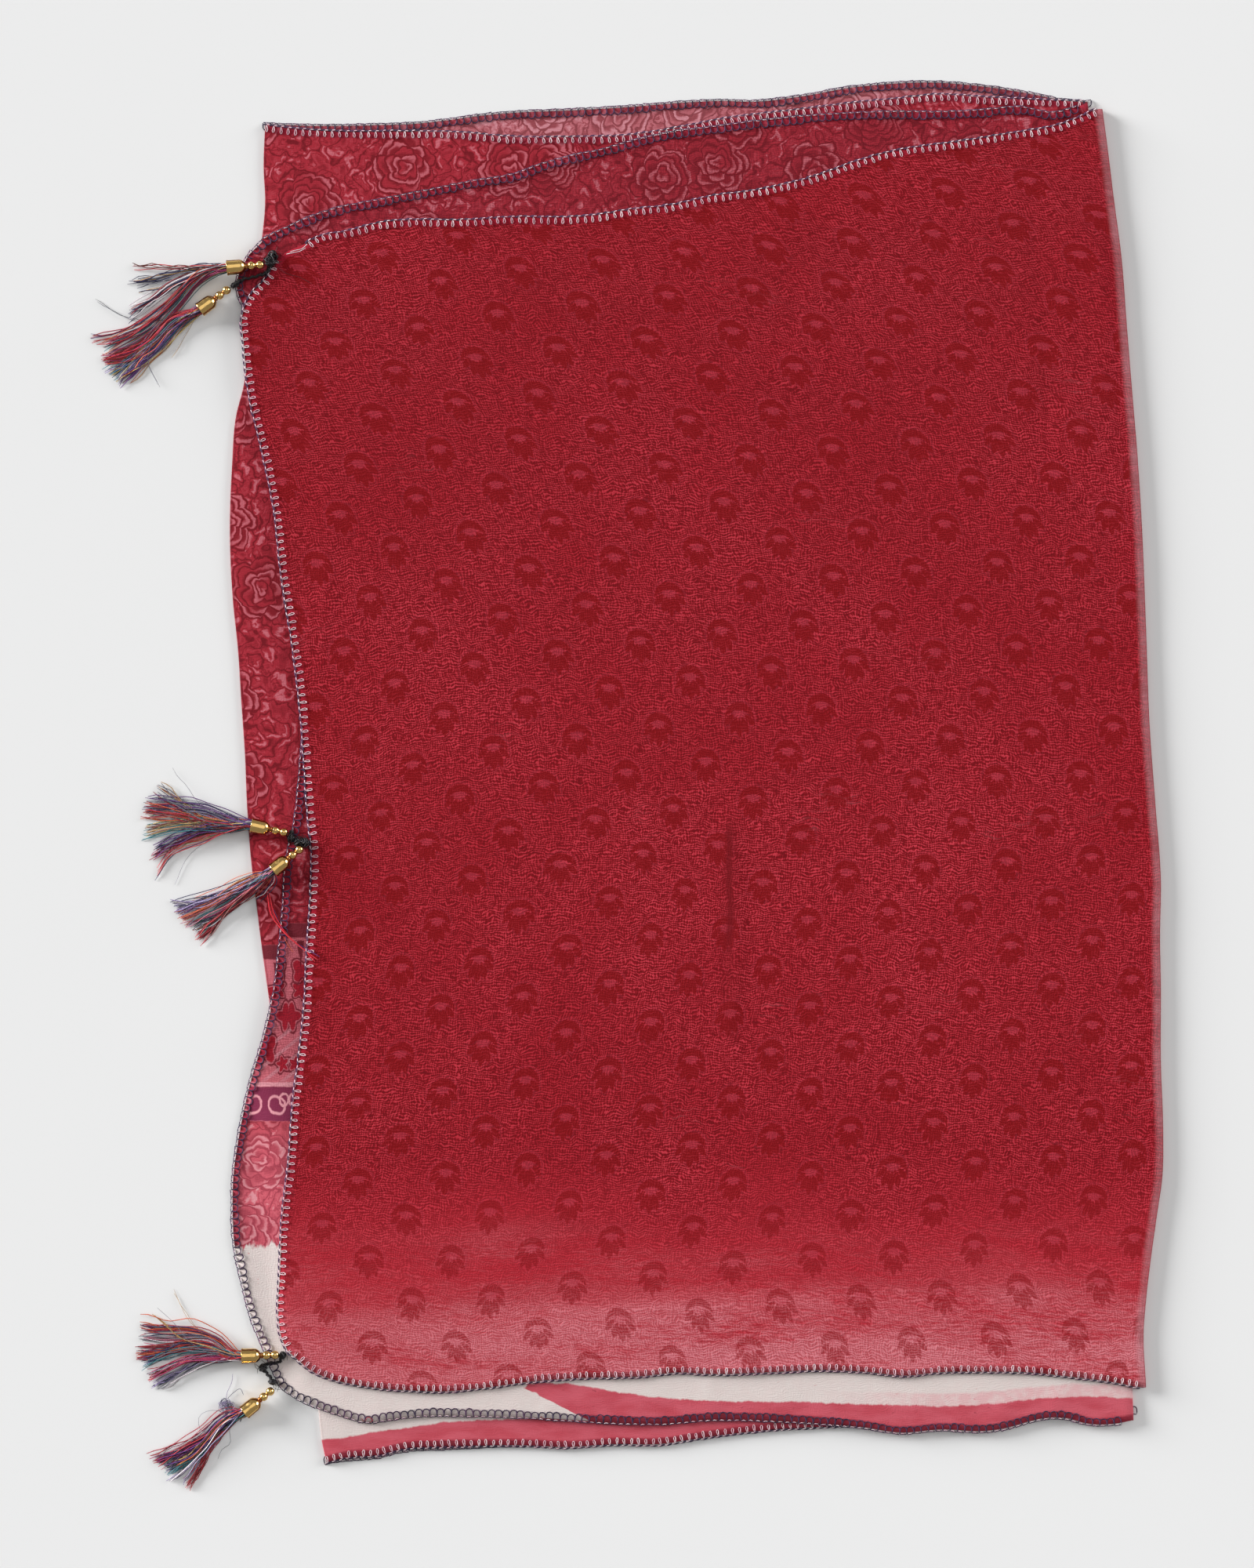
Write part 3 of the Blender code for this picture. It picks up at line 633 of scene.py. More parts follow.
def noise(place, scale, detail=2.0, roughness=0.5):
    given = {"Vector": place, "Scale": scale, "Detail": detail, "Roughness": roughness}
    return newWire(treeOf([place]), "ShaderNodeTexNoise", given, noise_dimensions="3D")


def mark(tree, name):
    return newWire(tree, "ShaderNodeAttribute", output="Fac", attribute_name=name)


def newGroup(name, outputs, build):
    # a shared effect: build gets the place and gives back a wire for each output
    tree = bpy.data.node_groups.new(name, "ShaderNodeTree")
    tree.interface.new_socket("Vector", in_out="INPUT", socket_type="NodeSocketVector")
    for output in outputs:
        tree.interface.new_socket(output, in_out="OUTPUT", socket_type="NodeSocketFloat")
    newNode(tree, "NodeGroupOutput", build(newWire(tree, "NodeGroupInput")))
    return tree


def useGroup(group, place):
    made = newNode(treeOf([place]), "ShaderNodeGroup", (place,), node_tree=group)
    return {socket.name: wire(socket) for socket in made.outputs}


def newMaterial(name, **settings):
    made = bpy.data.materials.new(name)
    made.use_nodes = True
    shader = made.node_tree.nodes["Principled BSDF"]
    for key, value in settings.items():
        shader.inputs[key.replace("_", " ")].default_value = value
    return made, made.node_tree, shader


def placeIn(tree):
    return newWire(tree, "ShaderNodeTexCoord", output="Object")


def addBump(tree, shader, height, strength, distance):
    given = {"Strength": strength, "Distance": distance, "Height": height}
    put(shader.inputs["Normal"], newWire(tree, "ShaderNodeBump", given))


# the groups reckon in millimetres of the undistorted print
# crepe weave: uneven threads both ways, the crosswise ones longer and brighter
def weaveParts(given):
    place = stretch(given, 1000, 1000)
    wander = noise(place, 0.11, 3.0)
    wanderToo = noise(shifted(place, 71.0, 23.0), 0.11, 3.0)
    bent = vector("ADD", place, join(wanderToo * 7.0, wander * 7.0))
    x, y, _ = split(bent)
    crosswise = noise(stretch(bent, 0.24, 1.75), 1.0, 2.0, 0.6)
    lengthwise = noise(stretch(bent, 1.55, 0.30), 1.0, 2.0, 0.6)
    rowPitch, columnPitch = 1.22, 1.34
    rows = maths("SINE", y * (2 * math.pi / rowPitch)) * ramp(crosswise, 0.3, 0.7, 0.05, 0.13)
    columns = maths("SINE", x * (2 * math.pi / columnPitch)) * ramp(lengthwise, 0.3, 0.7, 0.02, 0.10)
    both = crosswise * 0.62 + lengthwise * 0.38
    both = both + (rows + columns)
    slubs = ramp(noise(stretch(bent, 0.045, 0.62), 1.0, 3.0, 0.6), 0.52, 0.72)
    return ramp(both, 0.33, 0.67), ramp(both, 0.25, 0.75), slubs


# leaf sprig: a cap with pointed ends, a pale crown under it and leaves that hang down
def sprigParts(given):
    wobble = noise(stretch(given, 1000, 1000), 0.55, 2.0)
    x, y, _ = split(given)
    a, b, c, d = (sprigStep[key] for key in ("acrossX", "downX", "acrossY", "downY"))
    turn = a * d - b * c
    column = x * (d / turn) - y * (b / turn)
    row = y * (a / turn) - x * (c / turn)
    i = column - maths("ROUND", column)
    j = row - maths("ROUND", row)
    push = (wobble - 0.5) * 1.2
    px = (i * a + j * b) * 1000 + push      # from the sprig's centre
    py = (i * c + j * d) * 1000 - push

    def disc(cx, cy, rx, ry):
        # below 1 inside an ellipse
        nx = (px - cx) / rx
        ny = (py - cy) / ry
        return maths("SQRT", nx * nx + ny * ny)

    def leaf(degrees, length, width, startX, startY):
        # a lens from its base, pointed at both ends; above 0 inside
        cos, sin = math.cos(math.radians(degrees)), math.sin(math.radians(degrees))
        ox, oy = px - startX, py - startY
        along = (ox * cos + oy * sin) / length
        off = abs(oy * cos - ox * sin)
        belly = along * (1.0 - along) * (4 * width)
        return belly - off

    # a crescent with drooping points, five leaves below it and the pale gap between
    cap = least(1.0 - disc(0, 0.4, 7.4, 7.1), disc(0, -4.3, 8.8, 8.2) - 1.0)
    total = cap * 6.0
    for degrees, length, width, startX, startY in (
        (-90, 9.0, 1.95, 0.0, 0.0), (-111, 8.6, 1.75, -1.3, 0.8), (-69, 8.6, 1.75, 1.3, 0.8),
        (-136, 7.4, 1.45, -2.8, 1.9), (-44, 7.4, 1.45, 2.8, 1.9),
    ):
        total = most(total, leaf(degrees, length, width, startX, startY))
    leafMask = ramp(total, -0.24, 0.24)
    eye = ramp(1.0 - disc(0, 2.1, 4.0, 2.3), -0.1, 0.3)
    halo = ramp(total, -1.7, -0.7) * fall(total, -0.6, -0.1)
    crown = most(eye, halo * 0.45)
    return leafMask, crown * (1.0 - leafMask)


# rose heads: rings of petals with dark outlines and pale lit edges, foliage between
roseHead = {
    "spacing": 43.0,
    # radius, petals and how far they bulge
    "rings": ((15.6, 7, 0.10), (12.6, 6, 0.13), (9.4, 5, 0.15), (6.4, 4, 0.17), (3.5, 3, 0.20)),
    "twist": 0.16, "randomness": 0.7,
}


def roseParts(given):
    place = stretch(given, 1000, 1000)
    blur = noise(place, 0.11, 3.0)
    blurToo = noise(shifted(place, 31.0, 17.0), 0.11, 3.0)
    offset = join((blur - 0.5) * 8.0, (blurToo - 0.5) * 8.0)
    bent = vector("ADD", place, offset)
    spread = {"Vector": bent, "Scale": 1 / roseHead["spacing"], "Randomness": roseHead["randomness"]}
    cells = newNode(treeOf([bent]), "ShaderNodeTexVoronoi", spread, voronoi_dimensions="2D", feature="F1")
    x, y, _ = split(vector("SUBTRACT", bent, wire(cells.outputs["Position"])))
    reach = vector("LENGTH", join(x, y))
    turn = maths("ARCTAN2", y, x)
    pick = split(wire(cells.outputs["Color"]))[0] * 6.28
    # foliage: contour lines of two noises, with pale patches
    broad = noise(bent, 0.055, 2.0)
    small = noise(shifted(bent, 9.0, 57.0), 0.12, 3.0)
    contour = abs(maths("FRACT", broad * 8.0) - 0.5)
    vein = abs(maths("FRACT", small * 5.0) - 0.5)
    dark = fall(contour, 0.02, 0.17)
    dark = most(dark, fall(vein, 0.0, 0.12) * 0.75)
    dark = most(dark, ramp(small, 0.55, 0.68) * 0.6)
    light = ramp(contour, 0.22, 0.42) * ramp(vein, 0.12, 0.34)
    light = light * ramp(small, 0.60, 0.42)
    for number, (radius, petals, bulge) in enumerate(roseHead["rings"]):
        swirl = turn * (petals / 2) + (reach * roseHead["twist"] + pick * (1 + number))
        petal = abs(maths("COSINE", swirl))
        rim = (1.0 - bulge + petal * (2 * bulge)) * radius
        inside = rim - reach
        within = ramp(inside, -0.25, 0.25)
        outline = fall(abs(inside), 0.20, 0.85)
        lit = ramp(inside, 0.3, 1.1) * fall(inside, 1.5, 3.2)
        lit = lit * ramp(maths("SINE", turn + pick * (2.0 + number)), -0.7, 0.6)
        deep = ramp(inside, 1.6, 3.4, 0.15, 0.75)
        light = light * (1.0 - within) + lit * within
        dark = dark * (1.0 - within) + deep * within
        dark = most(dark, outline)
        light = light * (1.0 - outline)
    return least(dark, 1.0), least(light, 1.0)


# woven border: dark bar, bows with wedges and slanted stripes, then a scroll band; heights in the print in mm
border = {
    "period": 25.0, "bar": (-73.0, -80.6), "bows": (-82.0, -132.0), "stripes": (-128.0, -156.0),
    "line": (-156.5, -158.8), "scrolls": (-158.8, -177.0),
    # across, height, radii, lobes and their depth
    "blobs": (
        (0.0, -98.0, 5.2, 6.0, 3, 0.22), (0.0, -108.0, 4.4, 5.2, 5, 0.26), (-4.5, -122.0, 4.6, 7.0, 4, 0.25),
        (4.6, -139.0, 5.0, 7.0, 3, 0.28), (-3.0, -147.0, 3.4, 4.6, 5, 0.22),
    ),
    "curls": ((0.0, -168.5, 3.6, 5.4, 2, 0.20), (-4.4, -166.0, 2.2, 3.0, 1, 0.3)),
}


def borderParts(given):
    # gives the cover, dark lines, pale lines, red fill and purple ground
    place = stretch(given, 1000, 1000)
    wobble = noise(place, 0.35, 2.0)
    x, y, _ = split(place)
    x = x + (wobble - 0.5) * 1.2
    y = y + (wobble - 0.5) * 1.0
    half = maths("PINGPONG", x + 3.0, border["period"] / 2) - border["period"] / 4   # mirrored repeat

    def between(pair, soft=0.4):
        top, bottom = pair
        return ramp(y, bottom - soft, bottom + soft) * fall(y, top - soft, top + soft)

    def blob(cx, cy, rx, ry, lobes, depth):
        # distance to the rim of a lobed shape, in mm
        nx, ny = (half - cx) / rx, (y - cy) / ry
        reach = maths("SQRT", nx * nx + ny * ny)
        turn = maths("ARCTAN2", ny, nx)
        rim = 1.0 + maths("SINE", turn * lobes + 1.2) * depth
        return (reach - rim) * min(rx, ry)

    rims = [blob(*shape) for shape in border["blobs"]]
    line = reduce(most, [fall(abs(rim), 0.15, 0.75) for rim in rims])
    fill = reduce(most, [fall(rim, -1.3, -0.7) for rim in rims])
    wedgeTop, wedgeEnd = border["bows"][0], -97.0
    wedge = between((wedgeTop, wedgeEnd)) * fall(abs(half) - (y - wedgeEnd) * 0.13, -0.3, 0.3)
    slant = maths("PINGPONG", x * 0.62 + y * -0.78, 3.1)
    stripes = between(border["stripes"], 3.0) * ramp(slant, 2.0, 2.5)
    stripes = stripes * (1.0 - fill)
    bows = between((border["bows"][0], border["stripes"][1]))
    scrolls = between(border["scrolls"])
    curl = reduce(least, [abs(blob(*shape)) for shape in border["curls"]])
    curls = scrolls * fall(curl, 0.2, 0.8)
    cover = between((border["bar"][0], border["scrolls"][1]))
    dark = most(between(border["bar"]), bows * most(line, wedge))
    pale = most(most(between(border["line"]), curls), stripes * 0.55)
    return cover, dark, pale, bows * fill, most(scrolls, stripes * 0.35)


print("prints")
weave = newGroup("crepeWeave", ("Threads", "Height", "Slubs"), weaveParts)
sprigs = newGroup("leafSprig", ("Leaf", "Crown"), sprigParts)
roses = newGroup("roseHeads", ("Dark", "Light"), roseParts)
borders = newGroup("wovenBorder", ("Cover", "Dark", "Pale", "Red", "Purple"), borderParts)


def rgb(red, green, blue):
    # a colour read from the photograph, 0 to 255, as Blender's linear light
    def linear(value):
        value /= 255
        return value / 12.92 if value <= 0.04045 else ((value + 0.055) / 1.055) ** 2.4
    return (linear(red), linear(green), linear(blue), 1.0)


firstPrint = {
    "ground": rgb(156, 13, 29), "thread": rgb(194, 56, 70), "deep": rgb(108, 8, 18), "leaf": rgb(124, 6, 14),
    "crown": rgb(170, 50, 66), "faded": rgb(217, 136, 146), "band": rgb(150, 22, 42),
    # a paler colour painted as light shining up through the outer fold
    "frost": rgb(200, 142, 150),
    "lively": rgb(184, 40, 54), "livelyFrom": -190 * mm, "livelyTo": -268 * mm,
    "fadeFrom": -221 * mm, "fadeTo": -306 * mm, "keptBand": -260 * mm, "bandWidth": 3.3 * mm,
    "frostWidth": 5.6 * mm, "rimWidth": 1.0 * mm, "pinchAt": 53.2 * mm,
}


def firstLayerMaterial():
    s = firstPrint
    made, tree, shader = newMaterial(
        "leafPrint", Roughness=0.86, Sheen_Weight=0.04, Sheen_Roughness=0.5, Specular_IOR_Level=0.12)
    uv = newWire(tree, "ShaderNodeUVMap", uv_map="print")
    place = placeIn(tree)
    x, y, _ = split(place)
    threads = useGroup(weave, uv)
    sprig = useGroup(sprigs, uv)
    broad = noise(place, 9.0, 2.0)
    cloudy = noise(place, 38.0, 3.0)
    # colour of the ground: dark gaps, pale threads, and slubs
    ground = mix(threads["Threads"], s["deep"], s["ground"])
    bright = ramp(threads["Threads"], 0.45, 1.0) * ramp(broad + cloudy * 0.5, 0.45, 1.05, 0.35, 1.0)
    colour = mix(bright, ground, s["thread"])
    lively = ramp(y + (broad - 0.5) * 0.06, s["livelyTo"], s["livelyFrom"], 0.55, 0.0)
    colour = mix(lively, colour, s["lively"])
    shade = ramp(y, -0.10, 0.34) * ramp(cloudy, 0.35, 0.65, 0.05, 0.22)
    colour = mix(shade, colour, s["deep"])
    leafShare = sprig["Leaf"] * ramp(threads["Threads"], 0.0, 1.0, 0.97, 0.76)
    colour = mix(sprig["Crown"] * 0.46, colour, s["crown"])
    colour = mix(leafShare, colour, mix(lively * 0.5, s["leaf"], s["lively"]))
    # the print fades towards the lower hem, in streaks along the crosswise threads
    fine = noise(stretch(uv, 95, 860), 1.0, 3.0, 0.65)
    wide = noise(stretch(uv, 9, 62), 1.0, 2.0)
    streaks = fine * 0.5 + wide * 0.5
    reach = ramp(y + (broad - 0.5) * 0.05, s["fadeTo"], s["fadeFrom"], 1.0, 0.0)
    side = ramp(x, -0.19, 0.06, 0.62, 1.0)
    fade = reach * side * ramp(streaks + reach * 0.10, 0.42, 0.66, 0.06, 1.0)
    # one band keeps its colour, and the threads show through the faded print
    offBand = y - x * 0.045 + (wide - 0.5) * 0.03
    kept = ramp(abs(offBand - s["keptBand"]), 0.003, 0.013, 0.55, 0.0)
    fade = fade * (1.0 - kept) * ramp(threads["Threads"], 0.12, 0.85, 0.42, 1.12)
    smudges = ramp(noise(stretch(place, 14, 22), 1.0, 2.0), 0.60, 0.80) * threads["Slubs"]
    fade = least(fade + smudges * 0.30, 1.0)
    colour = mix(fade * (1.0 - leafShare * 0.68) * 0.74, colour, s["faded"])
    # hem band, painted light shining up through the single-ply outer fold, painted shade along the fold's
    # edge, and painted shade in the crease below the middle
    hem = fall(mark(tree, "hemDistance"), s["bandWidth"] * 0.8, s["bandWidth"] * 1.15)
    colour = mix(hem * (0.85 - reach * 0.50), colour, s["band"])
    fromFold = mark(tree, "foldDistance")
    fold = fall(fromFold, s["frostWidth"] * 0.3, s["frostWidth"])
    colour = mix(fold * ramp(streaks, 0.3, 0.7, 0.25, 0.6), colour, s["frost"])
    # painted shade: a dark line along the fold's edge, where the cloth rounds away
    rim = fall(fromFold, s["rimWidth"] * 0.2, s["rimWidth"])
    colour = mix(rim * 0.6, colour, s["deep"])
    # painted shade: a dark streak along the vertical crease below the middle
    offPinch = abs(x - ((cloudy - 0.5) * 0.006 + s["pinchAt"]))
    core = fall(offPinch, 0.0006, 0.0034) * ramp(y, -0.110, -0.070)
    pinch = fall(offPinch, 0.0010, 0.0070) * ramp(y, -0.150, -0.100)
    pinch = most(core * 0.85, pinch * 0.35)
    pinch = pinch * fall(y, -0.028, -0.012)
    colour = mix(pinch, colour, s["deep"])
    put(shader.inputs["Base Color"], colour)
    addBump(tree, shader, threads["Height"], 0.55, 0.22 * mm)
    return made


rosePrint = {
    "mid": rgb(168, 40, 54), "dark": rgb(108, 10, 22), "light": rgb(202, 104, 116),
    "wrong": rgb(216, 152, 162),
    "purple": rgb(128, 44, 74), "pale": rgb(222, 150, 160), "red": rgb(160, 22, 40),
    "maroon": rgb(96, 12, 28),
    "cream": rgb(215, 203, 199), "speck": rgb(196, 92, 100), "pink": rgb(198, 90, 104),
    "fadedRose": rgb(214, 142, 150),
    "fadedLine": rgb(150, 54, 70), "band": rgb(140, 26, 50), "fadedFrom": -176 * mm, "creamFrom": -243 * mm,
}


def roseMaterial(name, shift, wrongShare, darker):
    # shift moves the bands down the cloth; wrongShare is how milky its wrong side looks
    s = rosePrint
    made, tree, shader = newMaterial(
        name, Roughness=0.84, Sheen_Weight=0.04, Sheen_Roughness=0.5, Specular_IOR_Level=0.15)
    uv = newWire(tree, "ShaderNodeUVMap", uv_map="print")
    place = placeIn(tree)
    x, y, _ = split(place)
    threads = useGroup(weave, uv)
    rose = useGroup(roses, uv)
    band = useGroup(borders, shifted(uv, 0.0, shift))
    up = y + shift
    grain = noise(place, 240.0, 2.0)
    colour = mix(rose["Light"], s["mid"], s["light"])
    colour = mix(rose["Dark"] * 0.88, colour, s["dark"])
    faded = fall(up, s["fadedFrom"] - 0.02, s["fadedFrom"] + 0.02)
    pale = mix(rose["Dark"] * 0.8, mix(rose["Light"], s["pink"], s["fadedRose"]), s["fadedLine"])
    colour = mix(faded * 0.9, colour, pale)
    edging = mix(band["Purple"], s["light"], s["purple"])
    edging = mix(band["Red"], edging, s["red"])
    edging = mix(band["Dark"] * 0.9, edging, s["maroon"])
    edging = mix(band["Pale"], edging, s["pale"])
    colour = mix(band["Cover"], colour, edging)
    # cream end with a dripping edge and small specks, then the pink end
    ragged = noise(stretch(place, 170, 60), 1.0, 3.0, 0.65)
    dip = up + (ragged - 0.5) * 0.020
    cream = fall(dip, s["creamFrom"] - 0.0015, s["creamFrom"] + 0.0015)
    specks = ramp(noise(stretch(place, 260, 420), 1.0, 2.0), 0.66, 0.74)
    specks = specks * ramp(noise(place, 26.0, 2.0), 0.52, 0.66)
    paper = mix(specks * 0.7, s["cream"], s["speck"])
    paper = mix(ramp(grain, 0.3, 0.7) * 0.05, paper, s["fadedRose"])
    colour = mix(cream, colour, paper)
    depth = mark(tree, "pinkDepth") + (ragged - 0.5) * 0.003
    pinkEdge = ramp(depth, -0.0006, 0.0006)
    tinted = ramp(depth, -0.0075, -0.0055) * ramp(x, 0.09, 0.19, 0.0, 0.55)
    colour = mix(tinted * ramp(grain, 0.3, 0.6, 0.6, 1.0), colour, s["fadedRose"])
    blotch = noise(stretch(place, 60, 160), 1.0, 3.0)
    pink = mix(ramp(blotch, 0.35, 0.7, 0.10, 0.50), s["pink"], s["mid"])
    pink = mix(specks * 0.45, pink, s["maroon"])
    colour = mix(pinkEdge, colour, pink)
    milky = ramp(rose["Light"] - rose["Dark"], -1.0, 1.0, 0.35 * wrongShare, 1.5 * wrongShare)
    colour = mix(mark(tree, "wrongSide") * milky, colour, s["wrong"])
    gaps = ramp(threads["Threads"], 0.1, 1.0, 1.0, 0.25) * (0.10 + darker)
    colour = mix(gaps * ramp(up, s["fadedFrom"], s["fadedFrom"] + 0.036), colour, s["maroon"])
    hem = fall(mark(tree, "hemDistance"), 0.0026, 0.0038)
    shown = hem * (1.0 - cream * (1.0 - pinkEdge))
    colour = mix(shown * 0.6, colour, s["band"])
    # painted shade: a dark line along the left fold's edge, weaker on the cream end
    fold = fall(mark(tree, "foldDistance"), 0.0004, 0.0016)
    colour = mix(fold * (0.55 - cream * 0.40), colour, s["maroon"])
    put(shader.inputs["Base Color"], colour)
    addBump(tree, shader, threads["Height"], 0.4, 0.16 * mm)
    return made


first.data.materials.append(firstLayerMaterial())
second.data.materials.append(roseMaterial("rosePrintSecond", 0.0, 0.0, 0.44))
under.data.materials.append(roseMaterial("rosePrintUnder", 28 * photo["pixel"], 0.48, 0.09))


# what lies on the cloth rests on its top surface
def topAt(x, y):
    x, y = np.asarray(x, dtype=float), np.asarray(y, dtype=float)
    right = edge["outer"](y)
    onFirst = (x > edge["hem1"](y)) & (x < right) & (y > edge["bottom1"](x)) & (y < edge["top1"](x))
    onSecond = (x > edge["hem2"](y)) & (x < right) & (y > edge["bottom2"](x)) & (y < edge["top2"](x))
    onThird = (x > edge["fold"](y)) & (x < right) & (y > edge["bottom3"](x)) & (y < edge["top3"](x))
    third = cloth["lowest"] + cloth["pitch"] + cloth["underSlack"]
    height = np.where(onThird, third, 0.0)
    height = np.where(onSecond, secondHeight(x, y), height)
    height = np.where(onFirst, firstHeight(x, y), height)
    return height + np.where(height > 0, cloth["thickness"] / 2, 0.0)


def geometryTree(name, inputs, build):
    # a geometry node tree: what build gives back gets one material
    tree = bpy.data.node_groups.new(name, "GeometryNodeTree")
    for socket, kind in (("Geometry", "Geometry"), *inputs, ("Material", "Material")):
        tree.interface.new_socket(socket, in_out="INPUT", socket_type="NodeSocket" + kind)
    tree.interface.new_socket("Geometry", in_out="OUTPUT", socket_type="NodeSocketGeometry")
    given = {socket.name: wire(socket) for socket in newNode(tree, "NodeGroupInput").outputs}
    finish = {"Geometry": build(tree, given), "Material": given["Material"]}
    newNode(tree, "NodeGroupOutput", (newWire(tree, "GeometryNodeSetMaterial", finish),))
    return tree


def attribute(tree, name, kind):
    return newWire(tree, "GeometryNodeInputNamedAttribute", {"Name": name}, "Attribute", data_type=kind)


def grown(name, source, tree, values):
    # runs a geometry tree on a source object once and keeps the mesh that comes out
    modifier = source.modifiers.new("grow", "NODES")
    modifier.node_group = tree
    for item in tree.interface.items_tree:
        if item.in_out == "INPUT" and item.name in values:
            modifier[item.identifier] = values[item.name]
    graph = bpy.context.evaluated_depsgraph_get()
    mesh = bpy.data.meshes.new_from_object(
        source.evaluated_get(graph), preserve_all_data_layers=True, depsgraph=graph)
    source.modifiers.remove(modifier)
    bpy.data.objects.remove(source)
    mesh.name = name
    mesh.shade_smooth()
    return addObject(name, mesh)


def lineObject(name, lines, marks):
    # polylines as loose edges, with a value or vector for each point
    points, edges = [], []
    for line in lines:
        edges += [(len(points) + k, len(points) + k + 1) for k in range(len(line) - 1)]
        points += [tuple(point) for point in line]
    mesh = bpy.data.meshes.new(name)
    mesh.from_pydata(points, edges, [])
    for mark, (kind, key, values) in marks.items():
        addMark(mesh, mark, values, kind, key)
    return addObject(name, mesh)


def tubeParts(tree, given):
    # threads: each line becomes a tube with its own radius and colour along it
    section = newWire(tree, "GeometryNodeCurvePrimitiveCircle",
                      {"Resolution": given["Sides"], "Radius": 1.0}, "Curve")
    return newWire(tree, "GeometryNodeCurveToMesh", {
        "Curve": newWire(tree, "GeometryNodeMeshToCurve", {"Mesh": given["Geometry"]}, "Curve"),
        "Profile Curve": section, "Scale": attribute(tree, "threadRadius", "FLOAT"), "Fill Caps": True,
    }, "Mesh")


# how far each stitch leans (radians), and how its size varies
stitchSway = {"Min": (-0.10, -0.06, -0.16), "Max": (0.10, 0.06, 0.16)}
stitchSize = {"Min": (0.92, 0.86, 0.95), "Max": (1.06, 1.12, 1.12)}


def stitchParts(tree, given):
    # one stitch for each pitch along a hem, its X along the hem and its Z off the cloth
    def varied(extent, seed):
        return newWire(tree, "FunctionNodeRandomValue", dict(extent, Seed=seed), data_type="FLOAT_VECTOR")

    hem = newWire(tree, "GeometryNodeMeshToCurve", {"Mesh": given["Geometry"]}, "Curve")
    spaced = newWire(tree, "GeometryNodeResampleCurve", {"Curve": hem, "Length": given["Pitch"]},
                     mode="LENGTH")
    tangent = newWire(tree, "GeometryNodeInputTangent")
    along = newWire(tree, "FunctionNodeAlignRotationToVector", {"Vector": tangent}, axis="X")
    off = {"Rotation": along, "Vector": attribute(tree, "hemNormal", "FLOAT_VECTOR")}
    upright = newWire(tree, "FunctionNodeAlignRotationToVector", off, axis="Z", pivot_axis="X")
    lean = newWire(tree, "FunctionNodeEulerToRotation", (varied(stitchSway, given["Seed"]),))
    turned = {"Rotation": upright, "Rotate By": lean}
    placed = newWire(tree, "GeometryNodeInstanceOnPoints", {
        "Points": spaced,
        "Instance": newWire(tree, "GeometryNodeObjectInfo", {"Object": given["Stitch"]}, "Geometry"),
        "Rotation": newWire(tree, "FunctionNodeRotateRotation", turned, rotation_space="LOCAL"),
        "Scale": varied(stitchSize, given["Seed"] + 7.0),
    })
    return newWire(tree, "GeometryNodeRealizeInstances", (placed,))


tubes = geometryTree("threadTubes", (("Sides", "Int"),), tubeParts)
stitches = geometryTree("overlockRow", (("Stitch", "Object"), ("Pitch", "Float"), ("Seed", "Int")),
                        stitchParts)


def threadPiece(name, lines, radii, colours, material, sides=3):
    # a radius and a colour for each line; ends are drawn out fine
    radius, colour = [], []
    for line, thick, shade in zip(lines, radii, colours):
        count = len(line)
        taper = np.ones(count)
        taper[-1] = 0.55
        radius.append(thick * taper)
        colour.append(np.tile(shade, (count, 1)))
    source = lineObject(name + "Lines", lines, {
        "threadRadius": ("FLOAT", "value", np.concatenate(radius)),
        "threadColour": ("FLOAT_COLOR", "color", np.concatenate(colour)),
    })
    return grown(name, source, tubes, {"Sides": sides, "Material": material})


def threadMaterial(name, roughness, sheen):
    made, tree, shader = newMaterial(name, Roughness=roughness, Sheen_Weight=sheen, Sheen_Roughness=0.4)
    colour = newWire(tree, "ShaderNodeAttribute", output="Color", attribute_name="threadColour")
    place = placeIn(tree)
    ply = ramp(noise(stretch(place, 1800, 1800), 1.0, 1.0), 0.35, 0.65)
    darker = vector("MULTIPLY", colour, (0.62, 0.58, 0.64))
    put(shader.inputs["Base Color"], mix(ply, darker, colour))
    return made


silk = threadMaterial("tasselThread", 0.45, 0.05)
waxed = threadMaterial("tieThread", 0.5, 0.0)


# overlock: drawn in mm from the hem, X along it, Y into the cloth, Z off its face
stitchKinds = {
    "loop": {"radius": 0.28, "lines": (
        ((0.15, -0.55, 0.20), (-0.45, 0.50, 0.50), (-0.85, 1.90, 0.46), (-0.55, 2.95, 0.46),
         (0.05, 3.05, 0.50),
         (0.35, 2.20, 0.52), (0.30, 0.90, 0.55), (0.25, -0.45, 0.25)),
        ((-1.70, -0.72, 0.30), (-0.55, -0.62, 0.52), (0.15, -0.72, 0.30)),
    )},
    "chain": {"radius": 0.29, "lines": (
        ((-2.10, -0.50, -0.05), (-1.30, -0.92, 0.12), (-0.30, -0.95, 0.28), (0.70, -0.45, 0.40),
         (1.75, -0.38, 0.30),
         (2.10, -0.60, 0.05)),
        ((-0.50, -0.95, -0.15), (0.55, -1.00, 0.00), (1.70, -0.85, 0.05)),
    )},
    "scallop": {"radius": 0.37, "lines": (
        ((-2.05, -0.55, 0.25), (-1.95, 0.70, 0.50), (-1.75, 2.05, 0.46), (-1.05, 3.00, 0.46),
         (0.0, 3.25, 0.46),
         (1.05, 3.00, 0.46), (1.75, 2.05, 0.50), (1.95, 0.70, 0.56), (2.05, -0.55, 0.30)),
        ((-1.90, -0.90, 0.05), (-0.60, -0.80, 0.35), (0.70, -0.85, 0.30), (1.90, -0.95, 0.0)),
    )},
    "heads": {"radius": 0.25, "lines": (
        ((-1.50, -0.80, 0.25), (-0.70, -0.45, 0.58), (0.30, -0.55, 0.62), (1.00, -0.95, 0.25)),
    )},
}
